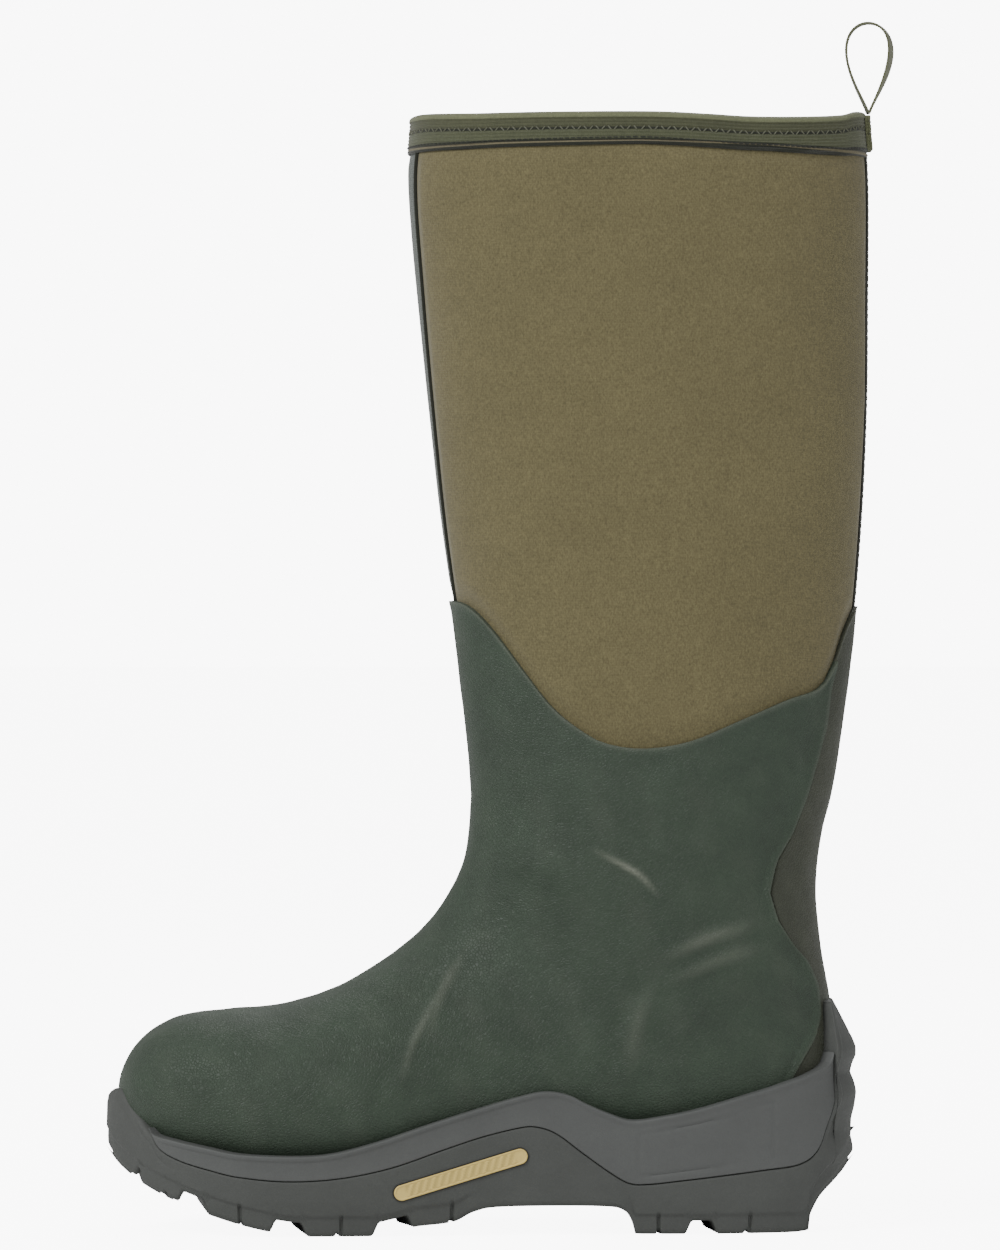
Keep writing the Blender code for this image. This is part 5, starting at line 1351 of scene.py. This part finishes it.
def build_badges():
    """A gold bar inlaid in each side of the sole: rings of a stadium shape laid on the wall, crowned,
    with slanted ribs and a dark rim."""
    half, radius = BADGE_HALF, BADGE_RADIUS
    turn = np.linspace(-math.pi / 2, math.pi / 2, 41)
    right = np.stack([half + radius * np.cos(turn), radius * np.sin(turn)], axis=1)
    top = np.stack([np.linspace(half, -half, 90)[1:-1], np.full(88, radius)], axis=1)
    ring = np.vstack([right, top, -right, -top])
    ring = np.vstack([ring, ring[:1]])
    centre_line = np.stack([np.clip(ring[:, 0], -half, half), 0 * ring[:, 0]], axis=1)
    shares = np.array(BADGE_RINGS)[:, None, None]
    flat = centre_line + (ring - centre_line) * shares
    share = np.broadcast_to(shares[..., 0], flat.shape[:2])
    ribs = smooth(-0.2, 0.5, np.sin(TURN * (flat[..., 0] - 0.6 * flat[..., 1]) / (3.2 * MM)))
    field = smooth(0.64, 0.56, share) * smooth(24 * MM, 22.5 * MM, np.abs(flat[..., 0]))
    lift = 0.45 * MM + 0.3 * MM * ribs * field + 0.3 * MM * smooth(0.62, 0.70, share)
    lift = lift - 0.38 * MM * smooth(0.80, 0.88, share)
    lift[-1] = -2 * MM
    # Dark rim, and painted shade in the hollows between the ribs.
    mark = np.maximum(smooth(0.84, 0.88, share), 0.22 * (1 - ribs) * field)
    cos, sin = math.cos(BADGE_TILT), math.sin(BADGE_TILT)
    x = BADGE_CENTRE[0] + flat[..., 0] * cos - flat[..., 1] * sin
    z = BADGE_CENTRE[1] + flat[..., 0] * sin + flat[..., 1] * cos
    places, inner_y, outer_y = sole_sides()
    barrel = np.interp(z, *(np.array(SOLE_BARREL).T * MM))
    for side, edge in ((-1, inner_y), (1, outer_y)):
        slope = np.gradient(edge, places)
        wall_y = np.interp(-x, -places, edge)
        tilt = np.interp(-x, -places, slope)
        length = np.sqrt(1 + tilt**2)
        out = np.stack([-side * tilt / length, side / length, 0 * tilt], axis=-1)
        points = np.stack([x, wall_y, z], axis=-1) + out * (lift - barrel)[..., None]
        numbers = np.arange(share.size).reshape(share.shape)
        faces = grid_quads(numbers).tolist() + [numbers[-1, :-1].tolist()]
        name = f"badge_{'medial' if side < 0 else 'lateral'}"
        mesh = made_mesh(f"{name}_bar", points, faces, measured_uv(points), mark)
        add_piece(mesh, FINISHES["gold_inlay"], "gold_inlay", "boot", name)


# ---- Stage -----------------------------------------------------------------------------------


# Strength of the sky as the camera sees it and as it lights the boot, and the floor's own glow.
SKY_SEEN, SKY_LIGHT, FLOOR_GLOW = 9.0, 0.46, 8.2
# Half width of the floor in metres, and the camera's lens in millimetres, its place and its frame.
FLOOR_REACH = 40.0
LENS, FRAME_HEIGHT = 208.7, 36
CAMERA_PLACE = (0.0002, -3.0, 0.2488)


def soft_light(name, place, aim, size, power):
    lamp = bpy.data.lights.new(name, "AREA")
    lamp.size = size
    lamp.energy = power
    light = bpy.data.objects.new(name, lamp)
    light.location = place
    light.rotation_euler = (Vector(aim) - Vector(place)).to_track_quat("-Z", "Y").to_euler()
    bpy.context.scene.collection.objects.link(light)


def build_stage():
    """A wide pale floor, a pale sky, three soft lights and the camera."""
    floor = bpy.data.objects.new("floor", bpy.data.meshes.new("floor"))
    reach = FLOOR_REACH
    corners = [(-reach, -reach, 0), (reach, -reach, 0), (reach, reach, 0), (-reach, reach, 0)]
    floor.data.from_pydata(corners, [], [(0, 1, 2, 3)])
    floor.location.z = -0.0002
    bpy.context.scene.collection.objects.link(floor)
    pale = Finish("pale floor", (0.93, 0.93, 0.93), 0.9, Specular_IOR_Level=0.0)
    pale.shader.inputs["Emission Color"].default_value = (1, 1, 1, 1)
    seen = add_node(pale.tree, "ShaderNodeLightPath").outputs["Is Camera Ray"]
    glow = maths(pale.tree, "MULTIPLY", seen, FLOOR_GLOW)
    pale.tree.links.new(glow, pale.shader.inputs["Emission Strength"])
    floor.data.materials.append(pale.mottle(3.0, 0.004).done())
    world = bpy.data.worlds.new("pale sky")
    world.use_nodes = True
    tree = world.node_tree
    seen = add_node(tree, "ShaderNodeLightPath").outputs["Is Camera Ray"]
    strength = maths(tree, "ADD", maths(tree, "MULTIPLY", seen, SKY_SEEN - SKY_LIGHT), SKY_LIGHT)
    tree.links.new(strength, tree.nodes["Background"].inputs["Strength"])
    tree.nodes["Background"].inputs["Color"].default_value = (1, 1, 1, 1)
    bpy.context.scene.world = world
    soft_light("key", (-1.7, -1.7, 2.3), (-0.05, 0, 0.15), 1.3, 78)
    soft_light("fill", (2.2, -1.6, 1.0), (0, 0, 0.2), 1.4, 14)
    soft_light("rim", (0.6, 1.6, 1.8), (0, 0, 0.3), 1.2, 14)
    lens = bpy.data.cameras.new("camera")
    lens.lens = LENS
    lens.sensor_fit = "VERTICAL"
    lens.sensor_height = FRAME_HEIGHT
    lens.clip_end = 50
    camera = bpy.data.objects.new("camera", lens)
    camera.location = CAMERA_PLACE
    camera.rotation_euler = (math.pi / 2, 0, 0)
    bpy.context.scene.collection.objects.link(camera)
    bpy.context.scene.camera = camera


# ---- Add-on ----------------------------------------------------------------------------------


def operator(name, label, text, work):
    """An operator class that runs one building step."""

    def execute(self, context):
        work()
        return {"FINISHED"}

    return type(f"BOOT_OT_{name}", (bpy.types.Operator,),
                {"__doc__": text, "bl_idname": f"boot.{name}", "bl_label": label, "execute": execute})


def prepare():
    mix_finishes(bpy.context.scene.boot_colours)


OPERATORS = [
    operator("finishes", "Mix Finishes", "Makes every procedural material of the boot", prepare),
    operator("panels", "Neoprene Panels", "Builds the side panels and the front strip", build_panels),
    operator("pipings", "Pipings and Tape", "Builds the front pipings and the back seam tape", build_pipings),
    operator("rubber", "Rubber", "Lays the vamp and the back stay", build_rubber),
    operator("binding", "Binding", "Folds the ribbed tape over the top edge", build_binding),
    operator("tail", "Loop Tail", "Sews down the pull loop's ends", build_tail),
    operator("pull_loop", "Pull Loop", "Bends the pull loop", build_pull_loop),
    operator("linings", "Linings", "Builds the linings and the neoprene sock", build_linings),
    operator("insoles", "Insoles", "Lays the underlay, the footbed and its cloth", build_insoles),
    operator("kept", "Stiffeners", "Gives the hidden stiffeners their finishes", dress_kept_pieces),
    operator("outsole", "Outsole", "Moulds the outsole", build_outsole),
    operator("midsole", "Midsole", "Moulds the midsole", build_midsole),
    operator("badges", "Inlays", "Inlays the gold bars", build_badges),
    operator("stage", "Stage", "Sets up floor, light and camera", build_stage),
]


class BOOT_PT_panel(bpy.types.Panel):
    """Sizes, colours and building steps of the boot."""

    bl_label = "Insulated Hunting Boot"
    bl_idname = "BOOT_PT_panel"
    bl_space_type = "VIEW_3D"
    bl_region_type = "UI"
    bl_category = "Boot"

    def draw(self, context):
        for group in (context.scene.boot_sizes, context.scene.boot_colours):
            for label in group.__annotations__:
                self.layout.prop(group, label)
        for step in OPERATORS:
            self.layout.operator(step.bl_idname)


CLASSES = [BootSizes, BootColours, *OPERATORS, BOOT_PT_panel]


def register():
    for item in CLASSES:
        bpy.utils.register_class(item)
    bpy.types.Scene.boot_sizes = PointerProperty(type=BootSizes)
    bpy.types.Scene.boot_colours = PointerProperty(type=BootColours)


def unregister():
    del bpy.types.Scene.boot_sizes
    del bpy.types.Scene.boot_colours
    for item in reversed(CLASSES):
        bpy.utils.unregister_class(item)


def main():
    register()
    for step in OPERATORS:
        getattr(bpy.ops.boot, step.bl_idname.split(".")[1])()


if __name__ == "__main__":
    main()
